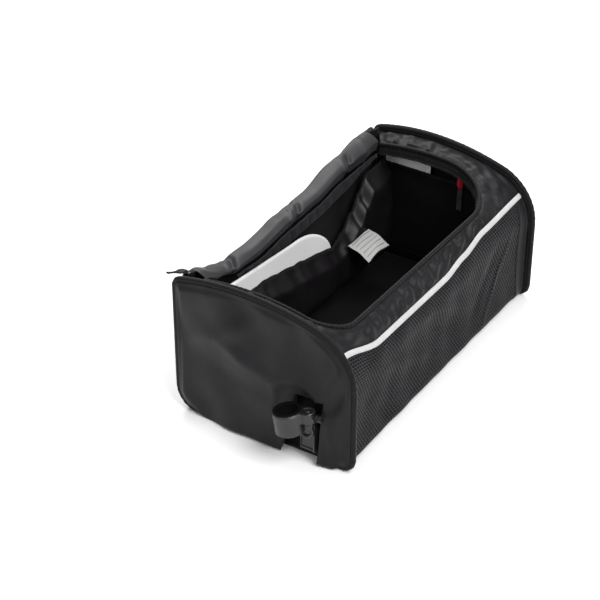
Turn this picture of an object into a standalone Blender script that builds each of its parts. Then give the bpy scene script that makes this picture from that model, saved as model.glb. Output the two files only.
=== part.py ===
"""Walker bag: two stiff end panels with piped edges, a soft body between them with a netted
front, a long zipped mouth whose lid is folded back, inner pockets with silver plates, and a tube
clamp at each end. Metres; X runs along the bag, -Y is the netted front, the bag stands on Z = 0."""

import math

import bmesh
import bpy
import numpy as np
from mathutils import Vector

# Overall sizes
BAG_LENGTH = 0.380  # over the outer faces of the end panels
BAG_DEPTH = 0.210  # over the piping, front to back
BAG_HEIGHT = 0.165  # floor to the top of the piping
GAP = 0.0003  # between pieces that are sewn or screwed together

# End panels and the piping round them
PANEL_THICKNESS = 0.006
CROWN_RADIUS = 0.300
CROWN_OFFSET = 0.025  # how far the highest point lies behind the middle
DOME_RADIUS = 0.062
BACK_CORNER_RADIUS = 0.012
FRONT_FOOT_RADIUS = 0.015
BACK_FOOT_RADIUS = 0.027
PIPING_RADIUS = 0.003
PIPING_END_ANGLE = 75  # degrees that the piping turns round each foot
NOTCH_FRONT = 0.038  # from the front of the panel to the cut-out for the clamp
NOTCH_WIDTH = 0.047
NOTCH_LEAN = 0.015  # the cut-out is narrower than that at its top by this
NOTCH_HEIGHT = 0.070
NOTCH_TOP_DROP = 0.002  # the cut-out's top edge falls towards the back

# Soft body
CLOTH = 0.0016
BODY_INSET = 0.008  # the body lies inside the piped edge by this
BODY_FOOT_RADIUS = 0.010
BASE_THICKNESS = 0.003
SEAM_MARGIN = 0.019  # from the front of the bag to the reflective seam
SEAM_SAG = 0.0135
SEAM_BULGE = 0.004
SEAM_RADIUS = 0.0022
FRONT_BOW = 0.007  # the net is drawn in by this at half height
BACK_BOW = 0.004

# Mouth
MOUTH_NEAR_MARGIN = 0.019  # from the left end's face to the rim
MOUTH_FAR_MARGIN = 0.0245
MOUTH_FRONT_MARGIN = 0.033
MOUTH_BACK_MARGIN = 0.0265
MOUTH_DROP = 0.003
NEAR_CORNER_RADIUS = 0.034
FAR_CORNER_RADIUS = 0.067
BINDING_RADIUS = 0.002
TAPE_WIDTH = 0.009
TAPE_THICKNESS = 0.0012
ZIP_END_LENGTH = 0.018
ZIP_END_WIDTH = 0.007
YOKE_BULGE = 0.002

# Lid, folded back over the back wall
LID_END_MARGIN = 0.026
LID_THICKNESS = 0.0016
LID_RIDGE_DROP = 0.004  # from the top of the bag to the ridge at its highest
LID_SAG = 0.030
LID_RIDGE_MARGIN = 0.0085  # from the back of the bag to the ridge
LID_VALLEY_MARGIN = 0.025  # from the back of the bag to the fold inside the mouth
LID_HANG_MARGIN = 0.0035
LID_FLOOR_MARGIN = 0.014
LID_CORNER_RADIUS = 0.034
LID_FACET_RISE = 0.003
HEM_THICKNESS = 0.0012
HEM_MARGIN = 0.0252
HEM_LEFT = 0.20  # where the hem shows, as shares of the bag's length
HEM_RIGHT = 0.92

# Inner pockets, plates, label and hanging strap
POCKET_CLOTH = 0.0012
POCKET_EDGE_MARGIN = 0.0235  # from the back of the bag to the pocket's top edge
POCKET_BULGE_MARGIN = 0.037
POCKET_FOOT_MARGIN = 0.029
POCKET_SHOULDER = 0.016
POCKET_GATHER = 0.0012
POCKET_GATHERS = 15
END_POCKET_WIDTH = 0.150
END_POCKET_HEIGHT = 0.118
END_POCKET_RISE = 0.005
PLATE_THICKNESS = 0.0015
BACK_PLATE_LENGTH = 0.246
BACK_PLATE_TOP = 0.121
BACK_PLATE_SLOPE = 0.07  # the plate's top edge falls by this share of its length
BACK_PLATE_CORNER = (0.073, 0.052)
END_PLATE_WIDTH = 0.058
END_PLATE_TOP = 0.135
END_PLATE_CORNER = 0.014
LABEL_LENGTH = 0.044
LABEL_WIDTH = 0.027
LABEL_DROP = 0.011
LABEL_X = 0.099
LABEL_HEIGHT = 0.066
LABEL_THICKNESS = 0.0006
STRAP_WIDTH = 0.006
STRAP_LENGTH = 0.026
STRAP_THICKNESS = 0.0015
STRAP_FROM_BACK = 0.121
STRAP_FOOT = 0.088
TAB_WIDTH = 0.008
TAB_LENGTH = 0.016
TAB_THICKNESS = 0.003

# Base rails and tube clamps
RAIL_HEIGHT = 0.012
RAIL_THICKNESS = 0.004
RAIL_MARGIN = 0.020
BRACKET_WIDTH = 0.019
BRACKET_THICKNESS = 0.008
BRACKET_FROM_NOTCH = 0.0105  # its middle, behind the cut-out's front edge
BRACKET_RISE = 0.004  # from the boss to the middle of the round top
BRACKET_BOSS_HEIGHT = 0.0345
BRACKET_FOOT = 0.004
BOSS_RADIUS = 0.0078
BOSS_LENGTH = 0.005
CLAMP_TILT = 9.0  # degrees that the clamped tube leans back
CLAMP_FROM_NOTCH = 0.0245  # the tube's axis, behind the cut-out's front edge
CLAMP_MIDDLE = 0.053
CLAMP_REACH = 0.018  # from the panel's face to the tube's axis
TUBE_RADIUS = 0.0105
LINER_THICKNESS = 0.0014
BAND_THICKNESS = 0.0024
BAND_HEIGHT = 0.023
NECK_LENGTH = 0.0185
NECK_RADIUS = 0.0075
NECK_HEIGHT = 0.013
NECK_SETBACK = 0.0065
BOLT_RADIUS = 0.0042
BOLT_LENGTH = 0.005

PANEL_FACE = BAG_LENGTH / 2
BODY_END = BAG_LENGTH / 2 - PANEL_THICKNESS - GAP
SEAM_END = BODY_END - 4 * GAP
SEAM_Y = -BAG_DEPTH / 2 + SEAM_MARGIN
NOTCH_START = -BAG_DEPTH / 2 + NOTCH_FRONT
BRACKET_Y = NOTCH_START + BRACKET_FROM_NOTCH
CLAMP_Y = NOTCH_START + CLAMP_FROM_NOTCH
STRAP_Y = BAG_DEPTH / 2 - STRAP_FROM_BACK

# Where the reflective seam sags: along is a share of the bag's length from the left end,
# sag a share of SEAM_SAG
SEAM_SAGS = [
    {"along": 0.00, "sag": 0.00},
    {"along": 0.17, "sag": 1.00},
    {"along": 0.52, "sag": 1.00},
    {"along": 0.64, "sag": 0.62},
    {"along": 0.76, "sag": 0.18},
    {"along": 1.00, "sag": 0.00},
]

# How the folded lid droops: ridge is a share of LID_SAG, valley and hem are drops as shares of
# BAG_HEIGHT, the valley below the ridge and the hem's lower edge below the valley
LID_FOLDS = [
    {"along": 0.01, "ridge": 0.17, "valley": 0.045, "hem": 0.020},
    {"along": 0.07, "ridge": 0.30, "valley": 0.048, "hem": 0.020},
    {"along": 0.13, "ridge": 0.60, "valley": 0.052, "hem": 0.020},
    {"along": 0.21, "ridge": 0.87, "valley": 0.056, "hem": 0.022},
    {"along": 0.31, "ridge": 0.87, "valley": 0.064, "hem": 0.040},
    {"along": 0.45, "ridge": 0.68, "valley": 0.040, "hem": 0.120},
    {"along": 0.59, "ridge": 0.60, "valley": 0.040, "hem": 0.120},
    {"along": 0.74, "ridge": 0.23, "valley": 0.085, "hem": 0.105},
    {"along": 0.86, "ridge": 0.03, "valley": 0.120, "hem": 0.048},
    {"along": 0.93, "ridge": 0.03, "valley": 0.118, "hem": 0.030},
    {"along": 0.99, "ridge": 0.13, "valley": 0.110, "hem": 0.024},
]

# The back pocket's top edge: height is a share of BAG_HEIGHT
POCKET_EDGES = [
    {"along": 0.00, "height": 0.555},
    {"along": 0.33, "height": 0.540},
    {"along": 0.42, "height": 0.505},
    {"along": 0.49, "height": 0.470},
    {"along": 0.59, "height": 0.425},
    {"along": 0.68, "height": 0.395},
    {"along": 0.74, "height": 0.440},
    {"along": 0.79, "height": 0.520},
    {"along": 0.83, "height": 0.625},
    {"along": 0.87, "height": 0.725},
    {"along": 1.00, "height": 0.745},
]

BLACK_NYLON = ("black_nylon", (0.030, 0.028, 0.031), 0.55, 0.0)
BLACK_NET = ("black_net", (0.026, 0.025, 0.027), 0.75, 0.0)
BINDING_TAPE = ("binding_tape", (0.014, 0.013, 0.014), 0.65, 0.0)
REFLECTIVE = ("reflective_piping", (0.78, 0.78, 0.78), 0.35, 0.0)
SILVER = ("silver_plate", (0.62, 0.62, 0.61), 0.32, 0.6)
COATED_LINING = ("coated_lining", (0.105, 0.102, 0.107), 0.45, 0.0)
WHITE_LABEL = ("white_label", (0.72, 0.72, 0.70), 0.80, 0.0)
GREY_WEBBING = ("grey_webbing", (0.045, 0.043, 0.047), 0.80, 0.0)
RED_PLASTIC = ("red_plastic", (0.36, 0.008, 0.022), 0.40, 0.0)
BLACK_PLASTIC = ("black_plastic", (0.030, 0.029, 0.031), 0.38, 0.0)
RUBBER = ("rubber_liner", (0.012, 0.012, 0.012), 0.70, 0.0)
STEEL = ("steel", (0.42, 0.41, 0.42), 0.35, 1.0)


def clear_scene():
    for obj in list(bpy.data.objects):
        bpy.data.objects.remove(obj)


def material(name, colour, roughness, metallic):
    found = bpy.data.materials.get(name)
    if found:
        return found
    made = bpy.data.materials.new(name)
    made.use_nodes = True
    shader = made.node_tree.nodes["Principled BSDF"]
    shader.inputs["Base Color"].default_value = (*colour, 1.0)
    shader.inputs["Roughness"].default_value = roughness
    shader.inputs["Metallic"].default_value = metallic
    return made


def collection(name):
    found = bpy.data.collections.get(name)
    if not found:
        found = bpy.data.collections.new(name)
        bpy.context.scene.collection.children.link(found)
    return found


def add_piece(name, data, finish):
    obj = bpy.data.objects.new(name, data)
    obj.data.materials.append(material(*finish))
    collection("Walker bag").objects.link(obj)
    return obj


def add_cutter(name, mesh):
    obj = bpy.data.objects.new(name, mesh)
    obj.hide_render = True
    obj.display_type = "WIRE"
    collection("Cutters").objects.link(obj)
    return obj


def from_table(rows, column, along):
    """The column's value at a share of the bag's length, eased between the table's rows."""
    shares = [row["along"] for row in rows]
    values = [row[column] for row in rows]
    after = int(np.clip(np.searchsorted(shares, along), 1, len(rows) - 1))
    step = (along - shares[after - 1]) / (shares[after] - shares[after - 1])
    step = min(max(step, 0.0), 1.0)
    eased = step * step * (3 - 2 * step)
    return values[after - 1] + (values[after] - values[after - 1]) * eased


def along_of(x):
    return x / BAG_LENGTH + 0.5


def between(first, last, steps):
    """steps + 1 even values from first to last."""
    return [first + (last - first) * i / steps for i in range(steps + 1)]


def arc(centre, radius, first, last, steps):
    """Points on an arc, angles in degrees from the first axis towards the second."""
    angles = [math.radians(a) for a in between(first, last, steps)]
    return [(centre[0] + radius * math.cos(a), centre[1] + radius * math.sin(a)) for a in angles]


def evenly(points, count):
    """count + 1 points spread evenly along a polyline."""
    points = np.array(points, float)
    lengths = np.linalg.norm(np.diff(points, axis=0), axis=1)
    reached = np.concatenate([[0.0], np.cumsum(lengths)])
    wanted = np.linspace(0.0, reached[-1], count + 1)
    return [Vector([np.interp(w, reached, column) for column in points.T]) for w in wanted]


# The end outline is one chain of arcs whose centres stay put when it is inset
CROWN_CENTRE = Vector((CROWN_OFFSET, BAG_HEIGHT - CROWN_RADIUS))
DOME_Y = -BAG_DEPTH / 2 + DOME_RADIUS
BACK_Y = BAG_DEPTH / 2 - BACK_CORNER_RADIUS


def tangent_centre(y, radius):
    """Centre of an arc of this radius at y that touches the crown from inside."""
    reach = CROWN_RADIUS - radius
    return Vector((y, CROWN_CENTRE.y + math.sqrt(reach**2 - (y - CROWN_CENTRE.x) ** 2)))


DOME_CENTRE = tangent_centre(DOME_Y, DOME_RADIUS)
BACK_CENTRE = tangent_centre(BACK_Y, BACK_CORNER_RADIUS)


def angle_from_crown(centre):
    towards = centre - CROWN_CENTRE
    return math.degrees(math.atan2(towards.y, towards.x))


def end_outline(inset):
    """Outline of a bag end in (y, z), from the front foot over the top to the back foot."""
    front_foot = (-BAG_DEPTH / 2 + FRONT_FOOT_RADIUS, FRONT_FOOT_RADIUS)
    back_foot = (BAG_DEPTH / 2 - BACK_FOOT_RADIUS, BACK_FOOT_RADIUS)
    first, last = angle_from_crown(DOME_CENTRE), angle_from_crown(BACK_CENTRE)
    turn = PIPING_END_ANGLE
    return (
        arc(front_foot, FRONT_FOOT_RADIUS - inset, 180 + turn, 180, 5)
        + arc(DOME_CENTRE, DOME_RADIUS - inset, 180, first, 8)
        + arc(CROWN_CENTRE, CROWN_RADIUS - inset, first, last, 5)[1:-1]
        + arc(BACK_CENTRE, BACK_CORNER_RADIUS - inset, last, 0, 4)
        + arc(back_foot, BACK_FOOT_RADIUS - inset, 0, -turn, 5)
    )


def top_height(y, inset=BODY_INSET):
    """Height of the inset outline's top at y."""
    first = CROWN_CENTRE.x + (CROWN_RADIUS - inset) * math.cos(
        math.radians(angle_from_crown(DOME_CENTRE))
    )
    centre, radius = CROWN_CENTRE, CROWN_RADIUS
    if y < first:
        centre, radius = DOME_CENTRE, DOME_RADIUS
    elif y > BACK_CENTRE.x:
        centre, radius = BACK_CENTRE, BACK_CORNER_RADIUS
    return centre.y + math.sqrt(max((radius - inset) ** 2 - (y - centre.x) ** 2, 0.0))


def cloth_sheet(name, rows, thickness, finish):
    """A sheet through a grid of points, thickened on the side away from its normals."""
    grid = bmesh.new()
    bmesh.ops.create_grid(grid, x_segments=len(rows[0]) - 1, y_segments=len(rows) - 1)
    grid.verts.ensure_lookup_table()
    for vert, point in zip(grid.verts, [point for row in rows for point in row], strict=True):
        vert.co = point
    mesh = bpy.data.meshes.new(name)
    grid.to_mesh(mesh)
    grid.free()
    obj = add_piece(name, mesh, finish)
    solid = obj.modifiers.new("Thickness", "SOLIDIFY")
    solid.thickness = thickness
    solid.offset = -1
    solid.use_even_offset = True
    return obj


def tube(name, points, radius, finish, resolution=1):
    """A piped edge or binding: a poly curve with a round bevel and filled caps."""
    curve = bpy.data.curves.new(name, "CURVE")
    curve.dimensions = "3D"
    curve.bevel_depth = radius
    curve.bevel_resolution = resolution
    curve.use_fill_caps = True
    spline = curve.splines.new("POLY")
    spline.points.add(len(points) - 1)
    for target, point in zip(spline.points, points, strict=True):
        target.co = (*point, 1.0)
    return add_piece(name, curve, finish)


def flat_plate(name, outline, thickness, finish):
    """A flat outline filled and extruded; its own X and Y are the outline's."""
    curve = bpy.data.curves.new(name, "CURVE")
    curve.dimensions = "2D"
    curve.fill_mode = "BOTH"
    curve.extrude = thickness / 2
    spline = curve.splines.new("POLY")
    spline.points.add(len(outline) - 1)
    spline.use_cyclic_u = True
    for target, point in zip(spline.points, outline, strict=True):
        target.co = (point[0], point[1], 0.0, 1.0)
    return add_piece(name, curve, finish)


def stand_across(obj, x):
    """Turns a flat plate so that its outline lies in the Y-Z plane at x."""
    obj.rotation_euler = (math.pi / 2, 0, math.pi / 2)
    obj.location.x = x


def block_mesh(name, low, high, bevel=0.0):
    """A box between two corners, with its edges rounded if bevel is given."""
    low, high = Vector(low), Vector(high)
    shape = bmesh.new()
    bmesh.ops.create_cube(shape, size=1.0)
    for vert in shape.verts:
        vert.co = (low + high) / 2 + Vector(a * b for a, b in zip(vert.co, high - low, strict=True))
    if bevel:
        bmesh.ops.bevel(shape, geom=shape.edges[:], offset=bevel, segments=1, affect="EDGES")
    mesh = bpy.data.meshes.new(name)
    shape.to_mesh(mesh)
    shape.free()
    return mesh


def cylinder_mesh(name, radius, height, sides):
    shape = bmesh.new()
    bmesh.ops.create_cone(
        shape, cap_ends=True, segments=sides, radius1=radius, radius2=radius, depth=height
    )
    mesh = bpy.data.meshes.new(name)
    shape.to_mesh(mesh)
    shape.free()
    return mesh


def combine(obj, other, operation):
    """Adds or cuts the other object's shape with an exact Boolean."""
    change = obj.modifiers.new(f"{operation.title()} {other.name}", "BOOLEAN")
    change.operation = operation
    change.object = other
    return obj


def build_panel(name, side):
    """A stiff end panel inside its piping, whose lower edge reaches the floor and is cut out."""
    inset = 2 * PIPING_RADIUS + GAP
    edge = end_outline(inset)
    front_skirt = -BAG_DEPTH / 2 + FRONT_FOOT_RADIUS + GAP
    back_skirt = BAG_DEPTH / 2 - BACK_FOOT_RADIUS - GAP
    notch_back = NOTCH_START + NOTCH_WIDTH
    outline = edge + [
        (back_skirt, inset),
        (back_skirt, 0.0),
        (notch_back, 0.0),
        (notch_back - NOTCH_LEAN, NOTCH_HEIGHT - NOTCH_TOP_DROP),
        (NOTCH_START, NOTCH_HEIGHT),
        (NOTCH_START, 0.0),
        (front_skirt, 0.0),
        (front_skirt, inset),
    ]
    panel = flat_plate(name, outline, PANEL_THICKNESS, BLACK_NYLON)
    stand_across(panel, side * (PANEL_FACE - PANEL_THICKNESS / 2))


def build_piping(name, side):
    x = side * (PANEL_FACE - PANEL_THICKNESS / 2)
    points = [Vector((x, y, z)) for y, z in end_outline(PIPING_RADIUS)]
    tube(name, points, PIPING_RADIUS, BINDING_TAPE)


def seam_point(along):
    """A point on the reflective seam, from its left end at 0 to its right end at 1."""
    sag = from_table(SEAM_SAGS, "sag", along)
    return Vector(
        (
            SEAM_END * (2 * along - 1),
            SEAM_Y - SEAM_BULGE * sag,
            top_height(SEAM_Y) - SEAM_SAG * sag,
        )
    )


def mouth_side(x, first, last, count):
    """The mouth's rim along an end of the bag."""
    return [Vector((x, y, top_height(y) - MOUTH_DROP)) for y in between(first, last, count)]


def mouth_rim():
    """The rim in five stretches: left side, near corner, front, far corner, right side."""
    left = MOUTH_NEAR_MARGIN - BAG_LENGTH / 2
    right = BAG_LENGTH / 2 - MOUTH_FAR_MARGIN
    front = -BAG_DEPTH / 2 + MOUTH_FRONT_MARGIN
    back = BAG_DEPTH / 2 - MOUTH_BACK_MARGIN
    near, far = NEAR_CORNER_RADIUS, FAR_CORNER_RADIUS
    near_plan = arc((left + near, front + near), near, 180, 270, 6)
    far_plan = arc((right - far, front + far), far, 270, 360, 6)
    corners = [
        [Vector((x, y, top_height(y) - MOUTH_DROP)) for x, y in plan]
        for plan in (near_plan, far_plan)
    ]
    height = top_height(front) - MOUTH_DROP
    straight = [Vector((x, front, height)) for x in between(left + near, right - far, 14)]
    return [
        mouth_side(left, back, front + near, 5),
        corners[0],
        straight,
        corners[1],
        mouth_side(right, front + far, back, 4),
    ]


def joined(stretches):
    """One list of points from stretches that share their end points."""
    return stretches[0] + [point for stretch in stretches[1:] for point in stretch[1:]]


def yoke_edge(rim):
    """The yoke's outer edge, with as many points as the rim, and whether each is on the seam."""
    front_corner, far_corner = rim[1][0], rim[3][-1]
    back = BACK_CENTRE.x + (BACK_CORNER_RADIUS - BODY_INSET) / 2

    def along_end(x, first, last, count):
        return [Vector((x, y, top_height(y))) for y in between(first, last, count)]

    near_end, far_start = along_of(rim[2][0].x), along_of(rim[2][-1].x)
    stretches = [
        along_end(-BODY_END, back, front_corner.y, 5),
        along_end(-BODY_END, front_corner.y, SEAM_Y, 3),
        [seam_point(a) for a in between(0.0, near_end, 3)],
        [seam_point(a) for a in between(near_end, far_start, 14)],
        [seam_point(a) for a in between(far_start, 1.0, 3)],
        along_end(BODY_END, SEAM_Y, far_corner.y, 3),
        along_end(BODY_END, far_corner.y, back, 4),
    ]
    first_on_seam = 5 + 3
    last_on_seam = first_on_seam + 3 + 14 + 3
    points = joined(stretches)
    on_seam = [first_on_seam <= i <= last_on_seam for i in range(len(points))]
    return points, on_seam


def build_top_band():
    """The nylon band between the reflective seam, the two ends and the mouth."""
    rim = mouth_rim()
    inner = joined(rim)
    outer, on_seam = yoke_edge(rim)
    steps = 3
    rows = [[] for _ in range(steps + 1)]
    for column, (start, end) in enumerate(zip(outer, inner, strict=True)):
        run = end - start
        before = inner[max(column - 1, 0)]
        after = inner[min(column + 1, len(inner) - 1)]
        outward = (after - before).cross(run).normalized()
        edge = outer[min(column + 1, len(outer) - 1)] - outer[max(column - 1, 0)]
        reach = (run - run.project(edge)).length
        first = (SEAM_RADIUS + 2 * GAP) / reach if on_seam[column] else 0.0
        clear = (run - run.project(after - before)).length
        last = 1 - (BINDING_RADIUS + GAP) / clear
        for row, share in zip(rows, between(first, last, steps), strict=True):
            bulge = YOKE_BULGE * math.sin(math.pi * share)
            row.append(start + run * share + outward * bulge)
    cloth_sheet("top_band", rows, CLOTH, BLACK_NYLON)
    seam = [point.copy() for point, sewn in zip(outer, on_seam, strict=True) if sewn]
    seam[0].x, seam[-1].x = -SEAM_END, SEAM_END
    tube("reflective_seam", seam, SEAM_RADIUS, REFLECTIVE)
    tube("mouth_binding", inner, BINDING_RADIUS, BINDING_TAPE)
    build_mouth_tape(inner)


def build_mouth_tape(rim):
    """The zip's tape, sewn under the rim and leaning into the mouth."""
    lean = 0.35  # sideways share of the tape's width
    top, bottom = [], []
    for i, point in enumerate(rim):
        along = rim[min(i + 1, len(rim) - 1)] - rim[max(i - 1, 0)]
        inward = Vector((-along.y, along.x, 0)).normalized()
        start = point - Vector((0, 0, BINDING_RADIUS + GAP))
        top.append(start + inward * TAPE_THICKNESS / 2)
        bottom.append(start + inward * lean * TAPE_WIDTH - Vector((0, 0, TAPE_WIDTH)))
    cloth_sheet("mouth_zip_tape", [top, bottom], TAPE_THICKNESS, BINDING_TAPE)


def build_front():
    """The netted front, from the foot up to the reflective seam."""
    front = -BAG_DEPTH / 2 + BODY_INSET
    foot_centre = (front + BODY_FOOT_RADIUS, BODY_FOOT_RADIUS)
    foot = arc(foot_centre, BODY_FOOT_RADIUS, 270, 180, 3)
    dome = arc(
        DOME_CENTRE,
        DOME_RADIUS - BODY_INSET,
        180,
        180 - math.degrees(math.acos((DOME_CENTRE.x - SEAM_Y) / (DOME_RADIUS - BODY_INSET))),
        4,
    )
    profile = evenly(foot + dome, 9)
    columns = 24
    rows = []
    for step, (y, z) in enumerate(profile):
        up = step / (len(profile) - 1)
        row = []
        for along in between(0.0, 1.0, columns):
            sag = from_table(SEAM_SAGS, "sag", along) * up**2
            bow = FRONT_BOW * math.sin(math.pi * up) * math.sqrt(math.sin(math.pi * along) + 0.0)
            x = BODY_END * (2 * along - 1)
            row.append(Vector((x, y - SEAM_BULGE * sag + bow, z - SEAM_SAG * sag)))
        rows.append(row)
    for column in range(columns + 1):
        run = rows[-1][column] - rows[-2][column]
        rows[-1][column] -= run.normalized() * (SEAM_RADIUS + 2 * GAP)
    cloth_sheet("front_net", rows, CLOTH, BLACK_NET)


def ridge_height(x):
    sag = from_table(LID_FOLDS, "ridge", along_of(x))
    return BAG_HEIGHT - LID_RIDGE_DROP - LID_SAG * sag


def valley_height(x):
    return ridge_height(x) - BAG_HEIGHT * from_table(LID_FOLDS, "valley", along_of(x))


def build_back_wall():
    """The back, from just under the lid's ridge down to the foot."""
    back = BAG_DEPTH / 2 - BODY_INSET
    foot_centre = (back - BODY_FOOT_RADIUS, BODY_FOOT_RADIUS)
    foot = arc(foot_centre, BODY_FOOT_RADIUS, 0, -90, 3)
    upper_rows = 6
    grid = []
    tape_end = BAG_LENGTH / 2 - LID_END_MARGIN + TAPE_WIDTH
    for x in [-BODY_END, -tape_end, *lid_stations(), tape_end, BODY_END]:
        top = ridge_height(x) - LID_THICKNESS - 4 * GAP
        heights = between(top, foot[0][1], upper_rows)
        column = []
        for z in heights:
            up = (z - foot[0][1]) / (heights[0] - foot[0][1])
            bow = BACK_BOW * math.sin(math.pi * up) * math.cos(math.pi * x / BAG_LENGTH)
            column.append(Vector((x, back - bow, z)))
        column += [Vector((x, y, z)) for y, z in foot[1:]]
        grid.append(column)
    rows = [list(row) for row in zip(*grid, strict=True)]
    cloth_sheet("back_wall", rows, CLOTH, BLACK_NYLON)


def lid_section(x):
    """The lid's fold at x: facet from the valley to the ridge, then the turn to the hanging part."""
    ridge, valley = ridge_height(x), valley_height(x)
    ridge_y = BAG_DEPTH / 2 - LID_RIDGE_MARGIN
    valley_y = BAG_DEPTH / 2 - LID_VALLEY_MARGIN
    hang_y = BAG_DEPTH / 2 - LID_HANG_MARGIN
    turn = hang_y - ridge_y
    middle = ((valley_y + ridge_y) / 2, (valley + ridge) / 2 + LID_FACET_RISE)
    return [
        Vector((x, valley_y, valley)),
        Vector((x, *middle)),
        Vector((x, ridge_y - turn / 2, ridge - LID_FACET_RISE / 4)),
        *[Vector((x, y, z)) for y, z in arc((ridge_y, ridge - turn), turn, 75, 0, 4)],
    ]


def lid_hem_height(from_end):
    """Height of the lid's lower edge, rounded at its two corners."""
    radius = LID_CORNER_RADIUS
    inwards = min(from_end, radius)
    return LID_FLOOR_MARGIN + radius - math.sqrt(radius**2 - (radius - inwards) ** 2)


def lid_stations():
    """Where the lid is shaped along its length, closer together at its rounded corners."""
    half = BAG_LENGTH / 2 - LID_END_MARGIN
    corner = [LID_CORNER_RADIUS * (1 - math.cos(math.radians(a))) for a in (0, 20, 42, 65, 90)]
    middle = between(-half + LID_CORNER_RADIUS, half - LID_CORNER_RADIUS, 14)[1:-1]
    return [-half + d for d in corner] + middle + [half - d for d in reversed(corner)]


def build_lid():
    """The zipped lid, folded back over the back wall and hanging behind it."""
    half = BAG_LENGTH / 2 - LID_END_MARGIN
    stations = lid_stations()
    hang_rows = 5
    grid, lean = [], LID_HANG_MARGIN / 2
    for x in stations:
        column = lid_section(x)
        start = column[-1]
        foot = Vector((x, start.y - lean, lid_hem_height(half - abs(x))))
        column += [start.lerp(foot, i / hang_rows) for i in range(1, hang_rows + 1)]
        grid.append(column)
    rows = [list(row) for row in zip(*grid, strict=True)]
    cloth_sheet("lid", rows, LID_THICKNESS, COATED_LINING)
    build_lid_tape(grid)


def build_lid_tape(grid):
    """The zip's tape along the lid's three free edges, from ridge to ridge."""
    ridge = 2
    left = grid[0][ridge:]
    right = grid[-1][ridge:]
    bottom = [column[-1] for column in grid]
    edge = left[:-1] + bottom + right[-2::-1]
    inner, outer = [], []
    for i, point in enumerate(edge):
        along = edge[min(i + 1, len(edge) - 1)] - edge[max(i - 1, 0)]
        down = min(i, len(edge) - 1 - i) / (len(left) - 1)
        outward = Vector((0, 1, 0)).cross(along).normalized()
        lift = Vector()
        if down < 1:
            outward = Vector((math.copysign(1.0, point.x), 0, 0))
            rise = ridge_height(point.x + outward.x * TAPE_WIDTH) - ridge_height(point.x)
            lift.z = rise * (1 - down)
        inner.append(point + outward * 2 * GAP)
        outer.append(point + outward * (2 * GAP + TAPE_WIDTH) + lift)
    cloth_sheet("lid_zip_tape", [inner, outer], TAPE_THICKNESS, BINDING_TAPE)


def build_back_hem():
    """The mouth's back hem, hanging inside below the lid's fold."""
    y = BAG_DEPTH / 2 - HEM_MARGIN
    stations = [x for x in lid_stations() if HEM_LEFT < along_of(x) < HEM_RIGHT]
    rows = [[], [], []]
    for i, x in enumerate(stations):
        top = valley_height(x) - LID_THICKNESS
        low = valley_height(x) - BAG_HEIGHT * from_table(LID_FOLDS, "hem", along_of(x))
        ripple = HEM_THICKNESS * (0.5 if i % 2 else -0.5)
        rows[0].append(Vector((x, y + ripple, min(low, top - 2 * HEM_THICKNESS))))
        rows[1].append(Vector((x, y - ripple / 2, (rows[0][-1].z + top) / 2)))
        rows[2].append(Vector((x, y, top)))
    cloth_sheet("back_hem", rows, HEM_THICKNESS, BLACK_NYLON)


def pocket_edge_height(x):
    return BAG_HEIGHT * from_table(POCKET_EDGES, "height", along_of(x))


def build_back_pocket():
    """The gathered pocket along the back wall, bulging into the bag."""
    half = BAG_LENGTH / 2 - PANEL_THICKNESS - RAIL_THICKNESS - 5 * GAP
    edge_y = BAG_DEPTH / 2 - POCKET_EDGE_MARGIN
    bulge_y = BAG_DEPTH / 2 - POCKET_BULGE_MARGIN
    foot_y = BAG_DEPTH / 2 - POCKET_FOOT_MARGIN
    stations = between(-half, half, 2 * POCKET_GATHERS)
    foot = BASE_THICKNESS + GAP
    rows = [[] for _ in range(6)]
    for i, x in enumerate(stations):
        edge = pocket_edge_height(x)
        gather = POCKET_GATHER * (1 if i % 2 else -1)
        shoulder = edge - POCKET_SHOULDER
        levels = [
            (foot_y, foot),
            (bulge_y + gather / 2, foot + (shoulder - foot) * 0.35),
            (bulge_y, foot + (shoulder - foot) * 0.75),
            (bulge_y + gather, shoulder),
            (bulge_y + (edge_y - bulge_y) * 0.6 + gather, edge - POCKET_SHOULDER * 0.45),
            (edge_y, edge),
        ]
        for row, (y, z) in zip(rows, levels, strict=True):
            row.append(Vector((x, y, z)))
    cloth_sheet("back_pocket", rows, POCKET_CLOTH, BLACK_NYLON)


def build_left_lining():
    """The lining inside the left end, which closes the panel's cut-out."""
    half = BAG_DEPTH / 2 - RAIL_MARGIN
    foot = BASE_THICKNESS + RAIL_HEIGHT
    rows = [[], [], []]
    for y in between(-half, half, 8):
        top = top_height(y) - CLOTH - YOKE_BULGE
        for row, z in zip(rows, between(top, foot, 2), strict=True):
            row.append(Vector((-BODY_END, y, z)))
    cloth_sheet("left_lining", rows, POCKET_CLOTH, BLACK_NYLON)


def build_end_pocket():
    """The flat pocket on the inside of the right end, with the end plate behind it."""
    x = BODY_END - GAP - PLATE_THICKNESS - 2 * GAP - POCKET_CLOTH
    back = BAG_DEPTH / 2 - POCKET_EDGE_MARGIN
    stations = between(back, back - END_POCKET_WIDTH, 6)
    foot = BASE_THICKNESS + RAIL_HEIGHT
    rows = [[], [], []]
    for y in stations:
        rise = END_POCKET_RISE * (y - stations[-1]) / END_POCKET_WIDTH
        for row, z in zip(rows, between(foot, END_POCKET_HEIGHT + rise, 2), strict=True):
            row.append(Vector((x, y, z)))
    cloth_sheet("end_pocket", rows, POCKET_CLOTH, BLACK_NYLON)
    return x


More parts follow.
